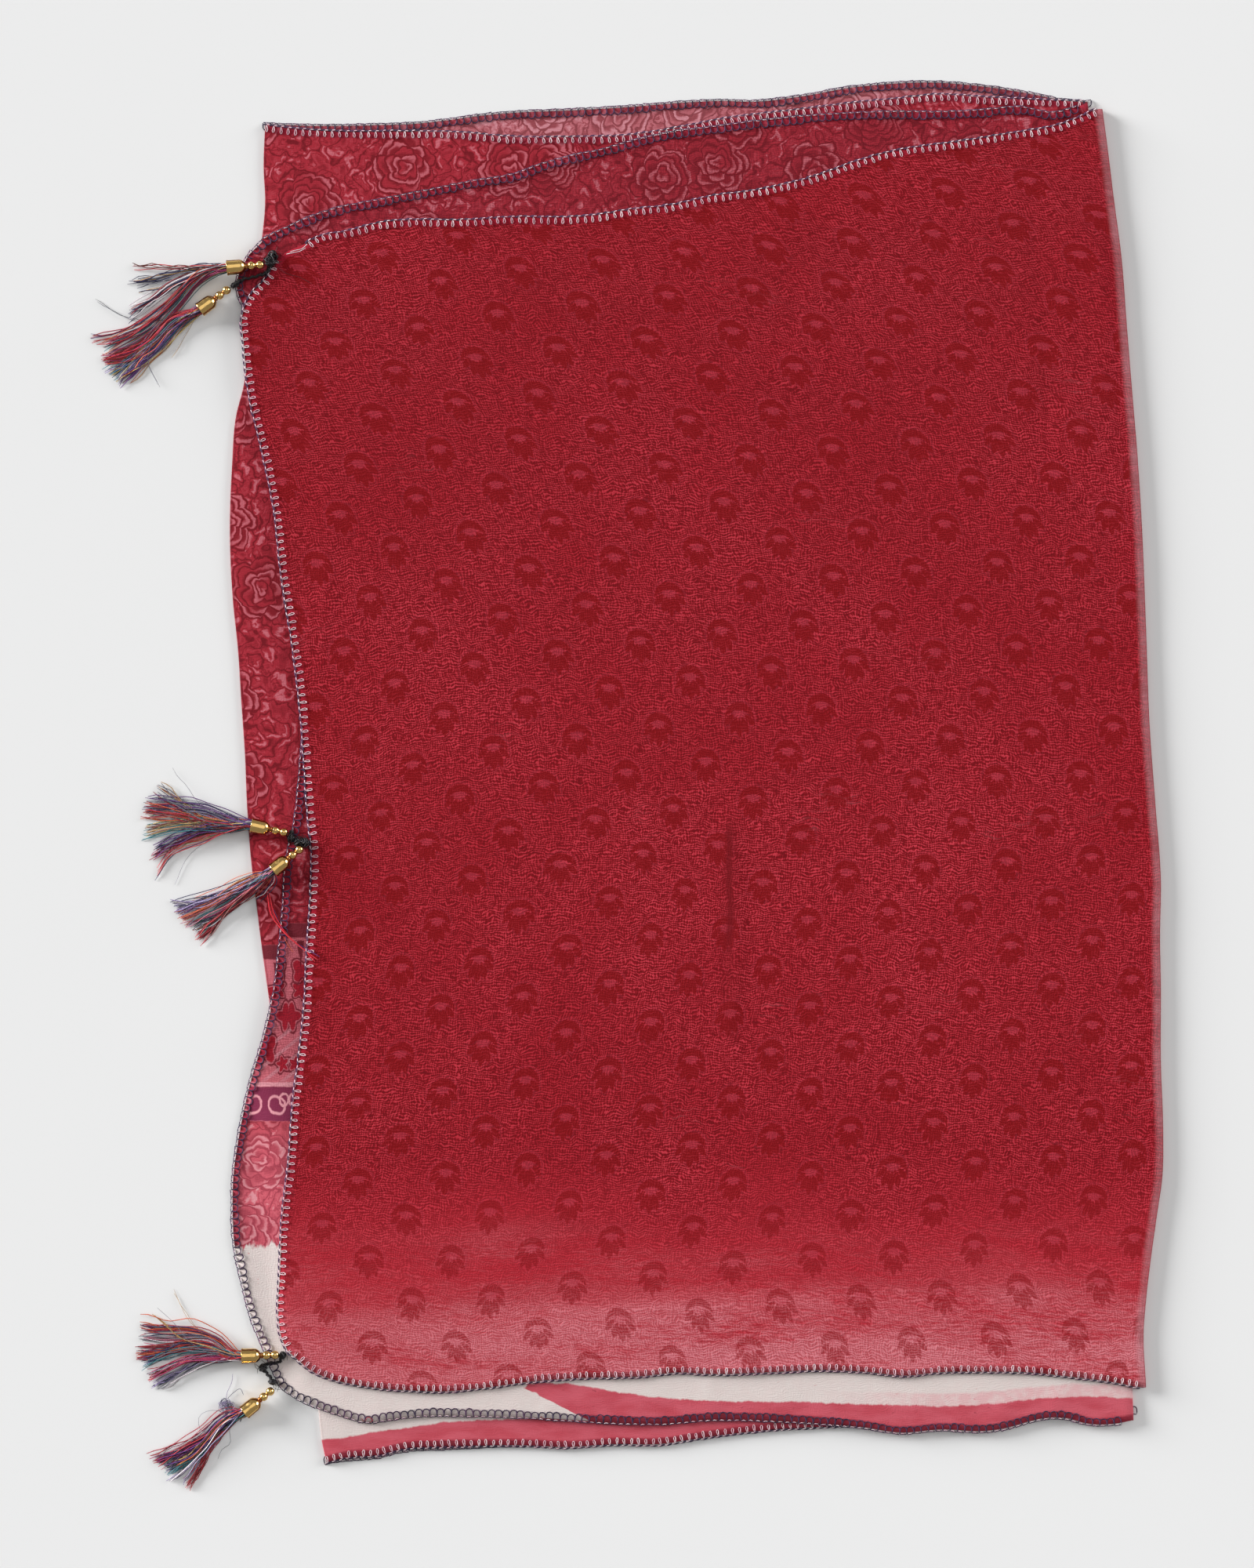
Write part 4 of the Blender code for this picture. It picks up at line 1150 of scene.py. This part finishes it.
plainCorner = {"centre": (370, 324), "radius": 9.2 * mm}     # no stitches at this corner of the first layer


def stitchPattern(kind):
    made = stitchKinds[kind]
    lines = [np.array(line) * mm for line in made["lines"]]
    radii = [made["radius"] * mm] * len(lines)
    return threadPiece(kind + "Pattern", lines, radii, [(1, 1, 1, 1)] * len(lines), None)


def hemLines(mid, sides):
    # the borders of a layer, run so that the cloth lies on their left
    every, backwards = slice(None), slice(None, None, -1)
    picks = {"top": (-1, backwards), "left": (backwards, 0), "bottom": (0, every)}
    normal = surfaceNormals(mid)
    lines = [mid[picks[side]] for side in sides]
    normals = [normal[picks[side]] for side in sides]
    if len(sides) == 3:      # one run round both corners
        lines, normals = [np.concatenate(lines)[1:-1]], [np.concatenate(normals)[1:-1]]
    return lines, normals


def yarnMaterial(name, shade, other):
    made, tree, shader = newMaterial(name, Roughness=0.8, Sheen_Weight=0.03, Sheen_Roughness=0.5)
    place = placeIn(tree)
    ply = ramp(noise(stretch(place, 1500, 1500), 1.0, 2.0), 0.3, 0.7)
    run = ramp(noise(stretch(place, 60, 60), 1.0, 2.0), 0.35, 0.65)
    colour = mix(run, shade, other)
    dark = vector("MULTIPLY", colour, (0.72, 0.66, 0.72))
    put(shader.inputs["Base Color"], mix(ply, dark, colour))
    return made


whiteYarn = yarnMaterial("overlockWhite", rgb(240, 220, 222), rgb(224, 184, 194))
navyYarn = yarnMaterial("overlockNavy", rgb(40, 26, 60), rgb(72, 34, 74))
pattern = {kind: stitchPattern(kind) for kind in stitchKinds}


def overlock(name, lines, normals, kind, material, pitch, seed):
    source = lineObject(name + "Lines", lines,
                        {"hemNormal": ("FLOAT_VECTOR", "vector", np.concatenate(normals))})
    values = {"Stitch": pattern[kind], "Pitch": pitch * mm, "Seed": seed, "Material": material}
    return grown(name, source, stitches, values)


print("overlock")
sewing = []
for layer, mid, sides, face, pitch, node, seed in (
    ("first", firstMid[:, :firstLayer["columns"]], ("top", "left", "bottom"), "A", 3.85, "stretch_1", 31),
    ("second", secondMid[:, :secondLayer["columns"] - 1], ("top", "left", "bottom"), "B", 3.80, "stretch_2",
     41),
    ("third", thirdMid, ("top", "bottom"), "A", 3.80, "under_layers", 51),
    ("fourth", fourthMid, ("top", "bottom"), "B", 3.75, "under_layers", 61),
):
    lines, normals = hemLines(mid, sides)
    if layer == "first":
        away = np.linalg.norm(lines[0][:, :2] - np.array(fromPhoto(*plainCorner["centre"])), axis=1)
        bare = np.flatnonzero(away < plainCorner["radius"])
        lines = [lines[0][:bare[0]], lines[0][bare[-1] + 1:]]
        normals = [normals[0][:bare[0]], normals[0][bare[-1] + 1:]]
    kinds = (("loop", whiteYarn, "white"), ("chain", navyYarn, "navy"))
    if face == "B":
        kinds = (("heads", whiteYarn, "white"), ("scallop", navyYarn, "navy"))
    for kind, yarn, shade in kinds:
        piece = overlock("overlock_" + layer + "_" + shade, lines, normals, kind, yarn, pitch, seed)
        sewing.append((piece, node))
for made in pattern.values():
    bpy.data.objects.remove(made)


# tassels: where each last ball and mouth lies (mm), as in the solids, and its locks of threads
paint = {
    "crimson": rgb(158, 24, 46), "red": rgb(196, 34, 44), "orange": rgb(204, 92, 48),
    "tan": rgb(198, 156, 98),
    "yellow": rgb(208, 180, 110), "magenta": rgb(164, 38, 98), "purple": rgb(98, 48, 122),
    "navy": rgb(38, 36, 82),
    "blue": rgb(58, 92, 150), "teal": rgb(50, 124, 132), "white": rgb(214, 206, 208),
    "lavender": rgb(160, 146, 184),
    "grey": rgb(120, 118, 128), "black": rgb(30, 28, 36), "scarlet": rgb(226, 34, 52),
    "brown": rgb(122, 60, 50), "pink": rgb(200, 120, 140),
}
tassels = (
    {"ball": (-192.1, 272.0), "mouth": (-210.1, 270.4), "locks": (
        (6, 0.7, "navy grey", ((259, 341), (222, 350), (164, 363))),
        (5, 0.8, "brown red", ((234, 342), (192, 340), (167, 337))),
        (16, 1.5, "navy red crimson white", ((262, 347), (222, 363), (186, 386), (163, 399))),
        (30, 2.2, "crimson orange teal navy magenta", ((262, 352), (224, 392), (196, 419), (134, 453))),
        (16, 1.8, "yellow white tan lavender", ((258, 354), (215, 407), (152, 483))),
        (10, 1.8, "red crimson blue", ((257, 352), (206, 396), (157, 426), (117, 432))),
        (10, 1.5, "grey tan navy", ((262, 347), (230, 352), (200, 360), (172, 366))),
    )},
    {"ball": (-209.7, 259.6), "mouth": (-224.7, 248.7), "locks": (
        (30, 1.8, "magenta red crimson orange", ((238, 403), (222, 408), (196, 434), (157, 457),
                                                 (132, 462))),
        (26, 1.8, "blue teal yellow navy lavender", ((234, 407), (196, 441), (140, 480))),
        (14, 1.4, "purple orange tan", ((236, 408), (200, 446), (152, 489))),
        (2, 0.6, "white tan", ((250, 400), (238, 422), (218, 455))),
        (2, 0.6, "grey white", ((236, 408), (190, 441), (190, 462), (205, 495))),
        (2, 0.5, "black navy", ((222, 408), (180, 411), (150, 401), (122, 382))),
    )},
    {"ball": (-179.9, -25.4), "mouth": (-197.4, -21.6), "locks": (
        (20, 1.8, "grey purple navy lavender", ((300, 1046), (256, 1030), (232, 1027), (184, 1027))),
        (18, 1.8, "orange red crimson", ((300, 1050), (270, 1046), (218, 1035), (183, 1032))),
        (20, 2.0, "brown yellow tan teal", ((300, 1052), (253, 1049), (218, 1051), (184, 1059))),
        (20, 2.0, "crimson purple magenta navy", ((300, 1054), (263, 1058), (226, 1072), (193, 1090))),
        (8, 1.2, "orange yellow", ((300, 1055), (288, 1058), (256, 1066), (226, 1076))),
        (4, 0.8, "grey tan", ((292, 1050), (258, 1046), (226, 1021), (203, 1001))),
        (8, 2.4, "white grey crimson", ((292, 1052), (250, 1040), (222, 1022), (196, 1008))),
        (6, 1.6, "red navy grey", ((290, 1056), (254, 1070), (223, 1081), (199, 1112))),
        (1, 0.3, "grey grey", ((275, 1040), (253, 1022), (239, 1006), (221, 977))),
        (1, 0.3, "grey grey", ((290, 1060), (267, 1070), (240, 1093), (223, 1130))),
    )},
    {"ball": (-171.6, -34.0), "mouth": (-185.8, -45.3), "locks": (
        (12, 1.4, "orange yellow tan", ((338, 1116), (314, 1123), (279, 1144), (251, 1155))),
        (16, 1.6, "purple lavender navy", ((332, 1120), (295, 1137), (249, 1151), (221, 1161))),
        (12, 1.6, "grey white lavender", ((330, 1121), (290, 1137), (247, 1153), (220, 1151))),
        (18, 1.8, "pink orange magenta", ((330, 1122), (263, 1162), (230, 1177))),
        (18, 1.6, "teal black navy white", ((332, 1123), (311, 1141), (270, 1170), (244, 1186))),
        (16, 1.6, "red crimson", ((334, 1124), (300, 1152), (279, 1170), (251, 1200))),
        (4, 0.8, "black brown", ((334, 1124), (284, 1170), (268, 1198))),
        (3, 0.8, "white navy", ((349, 1112), (351, 1118), (340, 1137), (328, 1148))),
    )},
    {"ball": (-184.6, -299.5), "mouth": (-202.6, -300.1), "locks": (
        (18, 1.6, "navy crimson orange", ((296, 1722), (284, 1711), (255, 1698), (215, 1695), (179, 1693))),
        (14, 1.8, "pink grey white", ((294, 1724), (270, 1709), (229, 1709), (177, 1707))),
        (26, 2.0, "red orange navy crimson", ((290, 1726), (270, 1716), (236, 1714), (212, 1721),
                                              (174, 1726))),
        (16, 1.8, "teal grey blue", ((292, 1727), (263, 1724), (229, 1726), (182, 1743))),
        (12, 1.5, "red crimson magenta", ((292, 1730), (237, 1733), (208, 1747), (188, 1754))),
        (14, 1.6, "navy grey lavender", ((294, 1731), (256, 1735), (229, 1750), (194, 1768))),
        (3, 0.8, "grey white", ((280, 1733), (240, 1750), (206, 1773))),
        (2, 0.4, "grey tan", ((285, 1717), (270, 1709), (243, 1683), (222, 1648))),
        (1, 0.3, "grey grey", ((260, 1720), (243, 1711), (224, 1688), (201, 1667))),
        (3, 0.8, "tan orange", ((255, 1714), (234, 1709), (212, 1690), (195, 1677))),
    )},
    {"ball": (-186.4, -317.7), "mouth": (-201.2, -329.6), "locks": (
        (18, 1.5, "red crimson magenta", ((302, 1801), (291, 1805), (256, 1834), (229, 1850), (196, 1865))),
        (18, 1.5, "navy purple", ((300, 1804), (287, 1812), (256, 1843), (229, 1859), (206, 1869))),
        (18, 1.5, "teal black white", ((300, 1806), (287, 1817), (260, 1846), (210, 1876))),
        (14, 1.4, "yellow orange tan", ((300, 1807), (284, 1819), (246, 1859), (225, 1872))),
        (10, 1.4, "grey lavender", ((300, 1808), (264, 1848), (231, 1888))),
        (10, 1.2, "crimson red brown", ((300, 1809), (267, 1846), (253, 1872), (236, 1896))),
        (5, 1.2, "white lavender", ((296, 1808), (260, 1852), (234, 1880), (216, 1892))),
        (4, 0.9, "black grey", ((300, 1810), (287, 1826), (274, 1846), (248, 1888))),
        (1, 0.3, "grey grey", ((284, 1798), (270, 1800), (253, 1809), (255, 1822), (263, 1826))),
        (1, 0.3, "grey grey", ((296, 1812), (294, 1821), (292, 1838), (277, 1859))),
    )},
)
capShape = {
    "length": 9.8, "mouth": 4.0, "bore": 3.4, "boreDepth": 7.2, "neck": 1.15, "ball": 2.25,
    "firstBall": 12.95, "lastBall": 17.45,
    "steps": 40,
}


def capAxis(tassel):
    # mouth point, direction from the mouth to the balls, and the height at which the cap lies
    ball = np.array(tassel["ball"]) * mm
    mouth = np.array(tassel["mouth"]) * mm
    away = (ball - mouth) / np.linalg.norm(ball - mouth)
    along = np.linspace(0, capShape["length"] * mm, 9)
    places = mouth[None, :] + along[:, None] * away[None, :]
    height = topAt(places[:, 0], places[:, 1]).max() + (capShape["mouth"] + 0.25) * mm
    return mouth, away, height


def capProfile():
    # distance from the mouth and radius, in mm, from the bottom of the bore round to the last ball
    s = capShape
    bore, mouth, neck = s["bore"], s["mouth"], s["neck"]
    points = [
        (s["boreDepth"], 0.0), (s["boreDepth"], bore - 0.2), (0.25, bore), (0.0, bore + 0.15),
        (0.0, mouth - 0.05), (0.15, mouth + 0.1), (0.55, mouth + 0.12), (0.85, mouth - 0.02),
        (1.1, mouth - 0.06), (4.0, mouth - 0.10), (6.8, mouth - 0.18), (7.5, mouth - 0.30),
        (8.3, mouth - 0.70), (9.0, mouth - 1.35), (9.45, 2.2), (9.8, 1.55), (10.0, 1.3),
        (10.2, 1.5), (10.5, 1.62), (10.8, 1.5), (10.95, neck),
    ]
    for centre in (s["firstBall"], s["lastBall"]):
        for step in range(1, 10):
            turn = math.pi * (step / 10 * 0.80 + 0.10)
            points.append((centre - s["ball"] * math.cos(turn), s["ball"] * math.sin(turn)))
        if centre == s["firstBall"]:
            points.append((15.2, neck))
    return points + [(s["lastBall"] + s["ball"], 0.0)]


def makeCap(number, tassel, material):
    mouth, away, height = capAxis(tassel)
    side = np.array([-away[1], away[0], 0.0])
    up = np.array([0.0, 0.0, 1.0])
    ahead = np.array([away[0], away[1], 0.0])
    base = np.array([mouth[0], mouth[1], height])
    profile = capProfile()
    steps = capShape["steps"]
    shape = bmesh.new()
    rings = []
    for reach, radius in profile:
        centre = base + ahead * reach * mm
        if radius == 0.0:
            rings.append([shape.verts.new(centre)])
            continue
        ring = []
        for step in range(steps):
            turn = 2 * math.pi * step / steps
            ring.append(shape.verts.new(centre + (side * math.cos(turn) + up * math.sin(turn)) * radius * mm))
        rings.append(ring)
    for one, two in zip(rings, rings[1:]):
        for k in range(steps):
            after = (k + 1) % steps
            corners = [one[k % len(one)], one[after % len(one)], two[after % len(two)], two[k % len(two)]]
            shape.faces.new(list(dict.fromkeys(corners)))
    bmesh.ops.recalc_face_normals(shape, faces=shape.faces)
    mesh = bpy.data.meshes.new("cap_" + str(number))
    shape.to_mesh(mesh)
    shape.free()
    reaches = np.concatenate([[reach] * (1 if radius == 0.0 else steps) for reach, radius in profile])
    addMark(mesh, "fromMouth", reaches)
    mesh.shade_smooth()
    mesh.materials.append(material)
    return addObject("cap_" + str(number), mesh)


def goldMaterial():
    made, tree, shader = newMaterial("goldCap", Metallic=1.0, Roughness=0.2)
    place = placeIn(tree)
    reach = mark(tree, "fromMouth")
    # darker, rougher brass in the grooves by the neck and between the balls
    groove = ramp(reach, 9.0, 10.1) * fall(reach, 10.8, 11.4)
    second = ramp(reach, 14.5, 15.0) * fall(reach, 15.4, 15.9)
    mottle = noise(stretch(place, 500, 500), 1.0, 3.0)
    grooveDark = most(groove, second) * ramp(mottle, 0.3, 0.6, 0.5, 1.0)
    # painted reflection: dark brown bands where the cap's sides turn away, standing in for dark surroundings
    # mirrored in the metal
    tilt = abs(split(newWire(tree, "ShaderNodeNewGeometry", output="Normal"))[2])
    sides = ramp(tilt, 0.25, 0.42) * fall(tilt, 0.55, 0.72)
    sides = sides * ramp(reach, 9.4, 10.6, 1.0, 0.25)
    brassWithReflection = mix(sides * ramp(mottle, 0.25, 0.6, 0.6, 1.0), rgb(228, 188, 116), rgb(112, 62, 26))
    put(shader.inputs["Base Color"], mix(grooveDark, brassWithReflection, rgb(150, 78, 40)))
    scuffed = 0.14 + (grooveDark * 0.22 + ramp(mottle, 0.45, 0.7) * 0.14)
    put(shader.inputs["Roughness"], scuffed)
    return made


def smoothPath(points, count):
    # evenly read places along a smooth curve through a few points
    points = np.asarray(points, dtype=float)
    steps = np.linalg.norm(np.diff(points, axis=0), axis=1)
    along = np.concatenate([[0], np.cumsum(steps)])
    reads = [smoothLine(list(zip(along, points[:, k]))) for k in range(points.shape[1])]
    where = np.linspace(0, along[-1], count)
    return np.stack([read(where) for read in reads], axis=1)


# threads of a tassel, in mm; a lock of one or two threads is a loose hair, finer and not cut short
tasselThread = {
    "root": 2.7, "rootIn": 5.5, "spread": 0.55, "cut": (0.80, 1.04), "fan": 1.7, "stray": 0.6, "pile": 1.0,
    "settle": 1.6, "clear": 0.35, "points": 17, "waves": (9, 26), "waveShare": (0.2, 1.3),
    "radius": (0.22, 0.33), "hair": 0.13, "tone": (0.75, 1.3),
}


def makeTassel(number, tassel):
    s = tasselThread
    draw = random.Random(100 + number)
    mouth, away, height = capAxis(tassel)
    side = np.array([-away[1], away[0]])
    lines, radii, colours = [], [], []
    for count, spread, shades, via in tassel["locks"]:
        via = [np.array(fromPhoto(*point)) for point in via]
        for _ in range(count):
            root = s["root"] * mm * math.sqrt(draw.random())
            turn = draw.uniform(0, 2 * math.pi)
            across, rise = root * math.cos(turn), root * math.sin(turn)
            inside = mouth + away * s["rootIn"] * mm
            flat = [inside + side * across * 0.9, mouth - away * 0.5 * mm + side * across]
            lift = [height + rise * 0.9, height + rise]
            offset = draw.gauss(0, s["spread"])
            short = draw.uniform(*s["cut"]) if count > 2 else 1.0
            for place, point in enumerate(via, start=1):
                share = place / len(via)
                fan = (1.0 + s["fan"] * share) * spread * offset + draw.gauss(0, s["stray"]) * share
                flat.append(point + side * fan * mm + side * across * (1 - share) * 0.8)
            flat[-1] = flat[-2] + (flat[-1] - flat[-2]) * short
            pile = abs(draw.gauss(0, s["pile"])) * mm
            for place, point in enumerate(flat[2:], start=1):
                share = place / len(via)
                floor = float(topAt(*point))
                clear = s["clear"] * mm + pile * (1 - 0.5 * share)
                lift.append(floor + (height + rise - floor) * (1 - share) ** s["settle"] * 0.75 + clear)
            path = smoothPath([(x, y, z) for (x, y), z in zip(flat, lift)], s["points"])
            along = np.linspace(0, 1, len(path))
            wave = mm * np.sin(along * draw.uniform(*s["waves"]) + draw.uniform(0, 6.28)) * along ** 1.5
            path[:, :2] += side[None, :] * (wave * draw.uniform(*s["waveShare"]))[:, None]
            floor = topAt(path[:, 0], path[:, 1]) + 0.3 * mm
            path[2:, 2] = np.maximum(path[2:, 2], floor[2:])
            lines.append(path)
            radii.append((draw.uniform(*s["radius"]) if count > 2 else s["hair"]) * mm)
            tone = np.array(paint[draw.choice(shades.split())])
            tone[:3] = (tone[:3] * 0.95 + 0.05 * tone[:3].mean() + 0.008) * draw.uniform(*s["tone"])
            colours.append(tone)
    return threadPiece("tassel_threads_" + str(number), lines, radii, colours, silk)


print("tassels")
gold = goldMaterial()
smallParts = []
for number, tassel in enumerate(tassels, start=1):
    smallParts.append((makeCap(number, tassel, gold), "tassel_cap_" + str(number), "gold_cap"))
    smallParts.append((makeTassel(number, tassel), "tassel_" + str(number), "tassel_thread"))


# black ties: a core along a few points (across, height, radius in mm) wound with thread, and knots
ties = {
    "tie_top": {"start": 1, "end": 2, "path": (
        (-187.6, 278.4, 1.2), (-187.6, 273.6, 2.2), (-188.6, 269.2, 1.4), (-195.6, 266.2, 1.0),
        (-202.4, 264.5, 1.2),
        (-208.2, 260.7, 1.5)), "knots": ((-187.8, 274.2, 3.5), (-186.0, 277.2, 2.5), (-206.0, 262.2, 2.1))},
    "tie_middle": {"start": 3, "end": 4, "path": (
        (-176.3, -24.6, 1.3), (-176.8, -28.4, 1.6), (-172.8, -29.6, 1.3), (-168.6, -31.2, 1.4)),
        "knots": ((-176.6, -28.2, 2.9), (-169.6, -30.6, 2.9), (-173.0, -30.4, 2.4))},
    "tie_bottom": {"start": 5, "end": 6, "path": (
        (-181.0, -299.4, 1.3), (-183.2, -303.6, 0.9), (-189.0, -304.4, 0.9), (-192.6, -306.6, 1.0),
        (-189.4, -309.8, 1.1),
        (-185.8, -314.8, 1.3)), "knots": ((-181.2, -299.8, 2.0), (-191.6, -306.4, 2.4),
                                          (-186.4, -314.0, 2.5))},
}


tieThread = {
    "core": 0.5, "strands": 4, "strand": 0.33, "loops": 9, "loop": (0.26, 0.40), "strays": 7, "stray": 0.12,
    "below": 1.6, "shade": rgb(24, 20, 24),
}


def makeTie(name, tie, seed):
    s = tieThread
    draw = random.Random(seed)
    points = np.array(tie["path"]) * mm
    rest = topAt(points[:, 0], points[:, 1]) + points[:, 2]
    for place, number in ((0, tie["start"]), (-1, tie["end"])):      # both ends reach up to their caps
        rest[place] = max(rest[place], capAxis(tassels[number - 1])[2] - s["below"] * mm)
    core = smoothPath(np.insert(points, 2, rest, axis=1), 60)
    lines, radii = [core[:, :3]], [s["core"] * mm]
    ahead = np.gradient(core[:, :3], axis=0)
    ahead /= np.linalg.norm(ahead, axis=1, keepdims=True)
    side = np.cross(ahead, np.array([0.0, 0.0, 1.0]))
    side /= np.linalg.norm(side, axis=1, keepdims=True)
    up = np.cross(side, ahead)
    for strand in range(s["strands"]):
        turn = np.linspace(0, 2 * math.pi * draw.uniform(7, 11), len(core)) + strand * 1.57
        reach = (core[:, 3] * draw.uniform(0.62, 0.85))[:, None]
        lines.append(core[:, :3] + (side * np.cos(turn)[:, None] + up * np.sin(turn)[:, None]) * reach)
        radii.append(s["strand"] * mm)
    for x, y, size in tie["knots"]:
        floor = float(topAt(x * mm, y * mm))
        middle = np.array([x * mm, y * mm, floor + size * mm * 0.8])
        for _ in range(s["loops"]):
            axis = Vector((draw.gauss(0, 1), draw.gauss(0, 1), draw.gauss(0, 0.7))).normalized()
            one = np.array(axis.orthogonal().normalized())
            two = np.cross(np.array(axis), one)
            turn = np.linspace(draw.uniform(0, 3), draw.uniform(5.5, 9.5), 16)
            reach = size * mm * draw.uniform(0.55, 1.0)
            ring = middle + (np.outer(np.cos(turn), one) + np.outer(np.sin(turn), two)) * reach
            ring[:, 2] = np.maximum(ring[:, 2], floor + 0.3 * mm)
            lines.append(ring)
            radii.append(draw.uniform(*s["loop"]) * mm)
        for _ in range(s["strays"]):
            turn = draw.uniform(0, 2 * math.pi)
            reach = size * mm * draw.uniform(1.2, 2.3)
            bend = draw.uniform(-0.8, 0.8)
            half = np.array([math.cos(turn), math.sin(turn), 0.2]) * reach * 0.6
            end = np.array([math.cos(turn + bend), math.sin(turn + bend), 0.0]) * reach
            hair = smoothPath([middle, middle + half, middle + end], 7)
            hair[:, 2] = np.maximum(hair[:, 2], topAt(hair[:, 0], hair[:, 1]) + 0.2 * mm)
            lines.append(hair)
            radii.append(s["stray"] * mm)
    return threadPiece(name + "_thread", lines, radii, [s["shade"]] * len(lines), waxed, 5)


for seed, (name, tie) in enumerate(ties.items(), start=7):
    smallParts.append((makeTie(name, tie, seed), name, "black_tie"))


# loose threads, hairs and lint: radius in mm, colour, then places in the photograph
looseThreads = (
    (0.42, "scarlet", ((342, 1141), (347, 1167), (361, 1186), (389, 1211), (407, 1224))),
    (0.34, "scarlet", ((344, 1139), (350, 1164), (366, 1190), (392, 1214), (403, 1226))),
    (0.28, "purple", ((358, 1183), (375, 1200), (396, 1212), (409, 1220))),
    (0.22, "purple", ((350, 1160), (362, 1186), (384, 1208), (404, 1222))),
    (0.16, "orange", ((363, 1195), (369, 1206), (375, 1214))),
    (0.24, "white", ((391, 318), (384, 322), (375, 324), (366, 326))),
    (0.22, "white", ((393, 313), (386, 319), (378, 321), (371, 323))),
    (0.30, "black", ((311, 1803), (309, 1808), (307, 1813))),
    (0.22, "crimson", ((462, 1808), (468, 1814), (476, 1810), (470, 1806), (466, 1812))),
    (0.11, "black", ((352, 340), (366, 350), (383, 355), (398, 363))),
    (0.15, "lavender", ((288, 1790), (290, 1776), (296, 1762), (297, 1752))),
    (0.15, "navy", ((291, 1783), (298, 1776), (307, 1771), (311, 1779))),
)
lint = {"centre": (289, 1793), "radius": 4.6, "count": 36, "thread": 0.10, "heights": (0.3, 3.2)}


def makeLoose():
    draw = random.Random(77)
    lines, radii, colours = [], [], []
    for radius, shade, via in looseThreads:
        flat = smoothPath([fromPhoto(*point) for point in via], 14)
        rest = topAt(flat[:, 0], flat[:, 1]) + (radius + 0.9) * mm
        lines.append(np.column_stack([flat, rest]))
        radii.append(radius * mm)
        colours.append(paint[shade])
    cx, cy = fromPhoto(*lint["centre"])
    for _ in range(lint["count"]):
        turn = draw.uniform(0, 2 * math.pi)
        places = []
        for _ in range(4):
            reach = lint["radius"] * mm * draw.random()
            turn += draw.uniform(0.4, 2.2)
            rise = draw.uniform(*lint["heights"]) * mm
            places.append((cx + reach * math.cos(turn), cy + reach * math.sin(turn), rise))
        lines.append(smoothPath(places, 9))
        radii.append(lint["thread"] * mm)
        colours.append(paint[draw.choice(("grey", "lavender", "lavender", "navy"))])
    return threadPiece("loose_threads", lines, radii, colours, silk)


loose = makeLoose()


# camera, light and floor
stage = {
    "cameraHeight": 2.4, "sensor": 36.0, "clipEnd": 90.0, "floorSize": 80.0, "floorDrop": 0.05 * mm,
    "paper": (0.81, 0.81, 0.81, 1.0), "sky": 0.305,
    # name, direction, spread in degrees and strength
    "suns": (
        ("low", (0.86, -0.36, -0.21), 25, 6.15), ("overhead", (-0.15, -0.25, -1.0), 50, 0.45),
        ("opposite", (-0.86, -0.36, -0.24), 30, 2.02),
    ),
}


def makeStage():
    floorMesh = bpy.data.meshes.new("floor")
    half = stage["floorSize"] / 2
    corners = [(-half, -half), (half, -half), (half, half), (-half, half)]
    floorMesh.from_pydata([(x, y, -stage["floorDrop"]) for x, y in corners], [], [(0, 1, 2, 3)])
    floor = addObject("floor", floorMesh)
    paper = newMaterial("floorPaper", Base_Color=stage["paper"], Roughness=0.9, Specular_IOR_Level=0.1)[0]
    floorMesh.materials.append(paper)

    camera = addObject("camera", bpy.data.cameras.new("camera"))
    height = 2000 * photo["pixel"]
    camera.data.sensor_width = stage["sensor"]
    camera.data.lens = stage["sensor"] * stage["cameraHeight"] / height
    x, y = fromPhoto(800, 1000)
    camera.location = (x, y, stage["cameraHeight"])
    camera.data.clip_end = stage["clipEnd"]
    bpy.context.scene.camera = camera

    for name, direction, spread, strength in stage["suns"]:
        light = bpy.data.lights.new(name, "SUN")
        light.angle = math.radians(spread)
        light.energy = strength
        made = addObject(name + "Light", light)
        made.rotation_mode = "QUATERNION"
        made.rotation_quaternion = Vector(direction).to_track_quat("-Z", "Y")
    world = bpy.data.worlds.new("studio")
    world.use_nodes = True
    background = world.node_tree.nodes["Background"].inputs
    background["Color"].default_value = (1, 1, 1, 1)
    background["Strength"].default_value = stage["sky"]
    bpy.context.scene.world = world
    bpy.context.scene.view_settings.view_transform = "Standard"


print("stage")
makeStage()

for piece, node, slot in (
    (first, "stretch_1", "red_print"), (second, "stretch_2", "rose_print"),
    (under, "under_layers", "under_print"),
):
    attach(piece, "root")
    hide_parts(node)
for piece, node in sewing:
    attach(piece, "root")
for piece, node, slot in smallParts:
    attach(piece, "root")
    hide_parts(node)
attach(loose, "root")
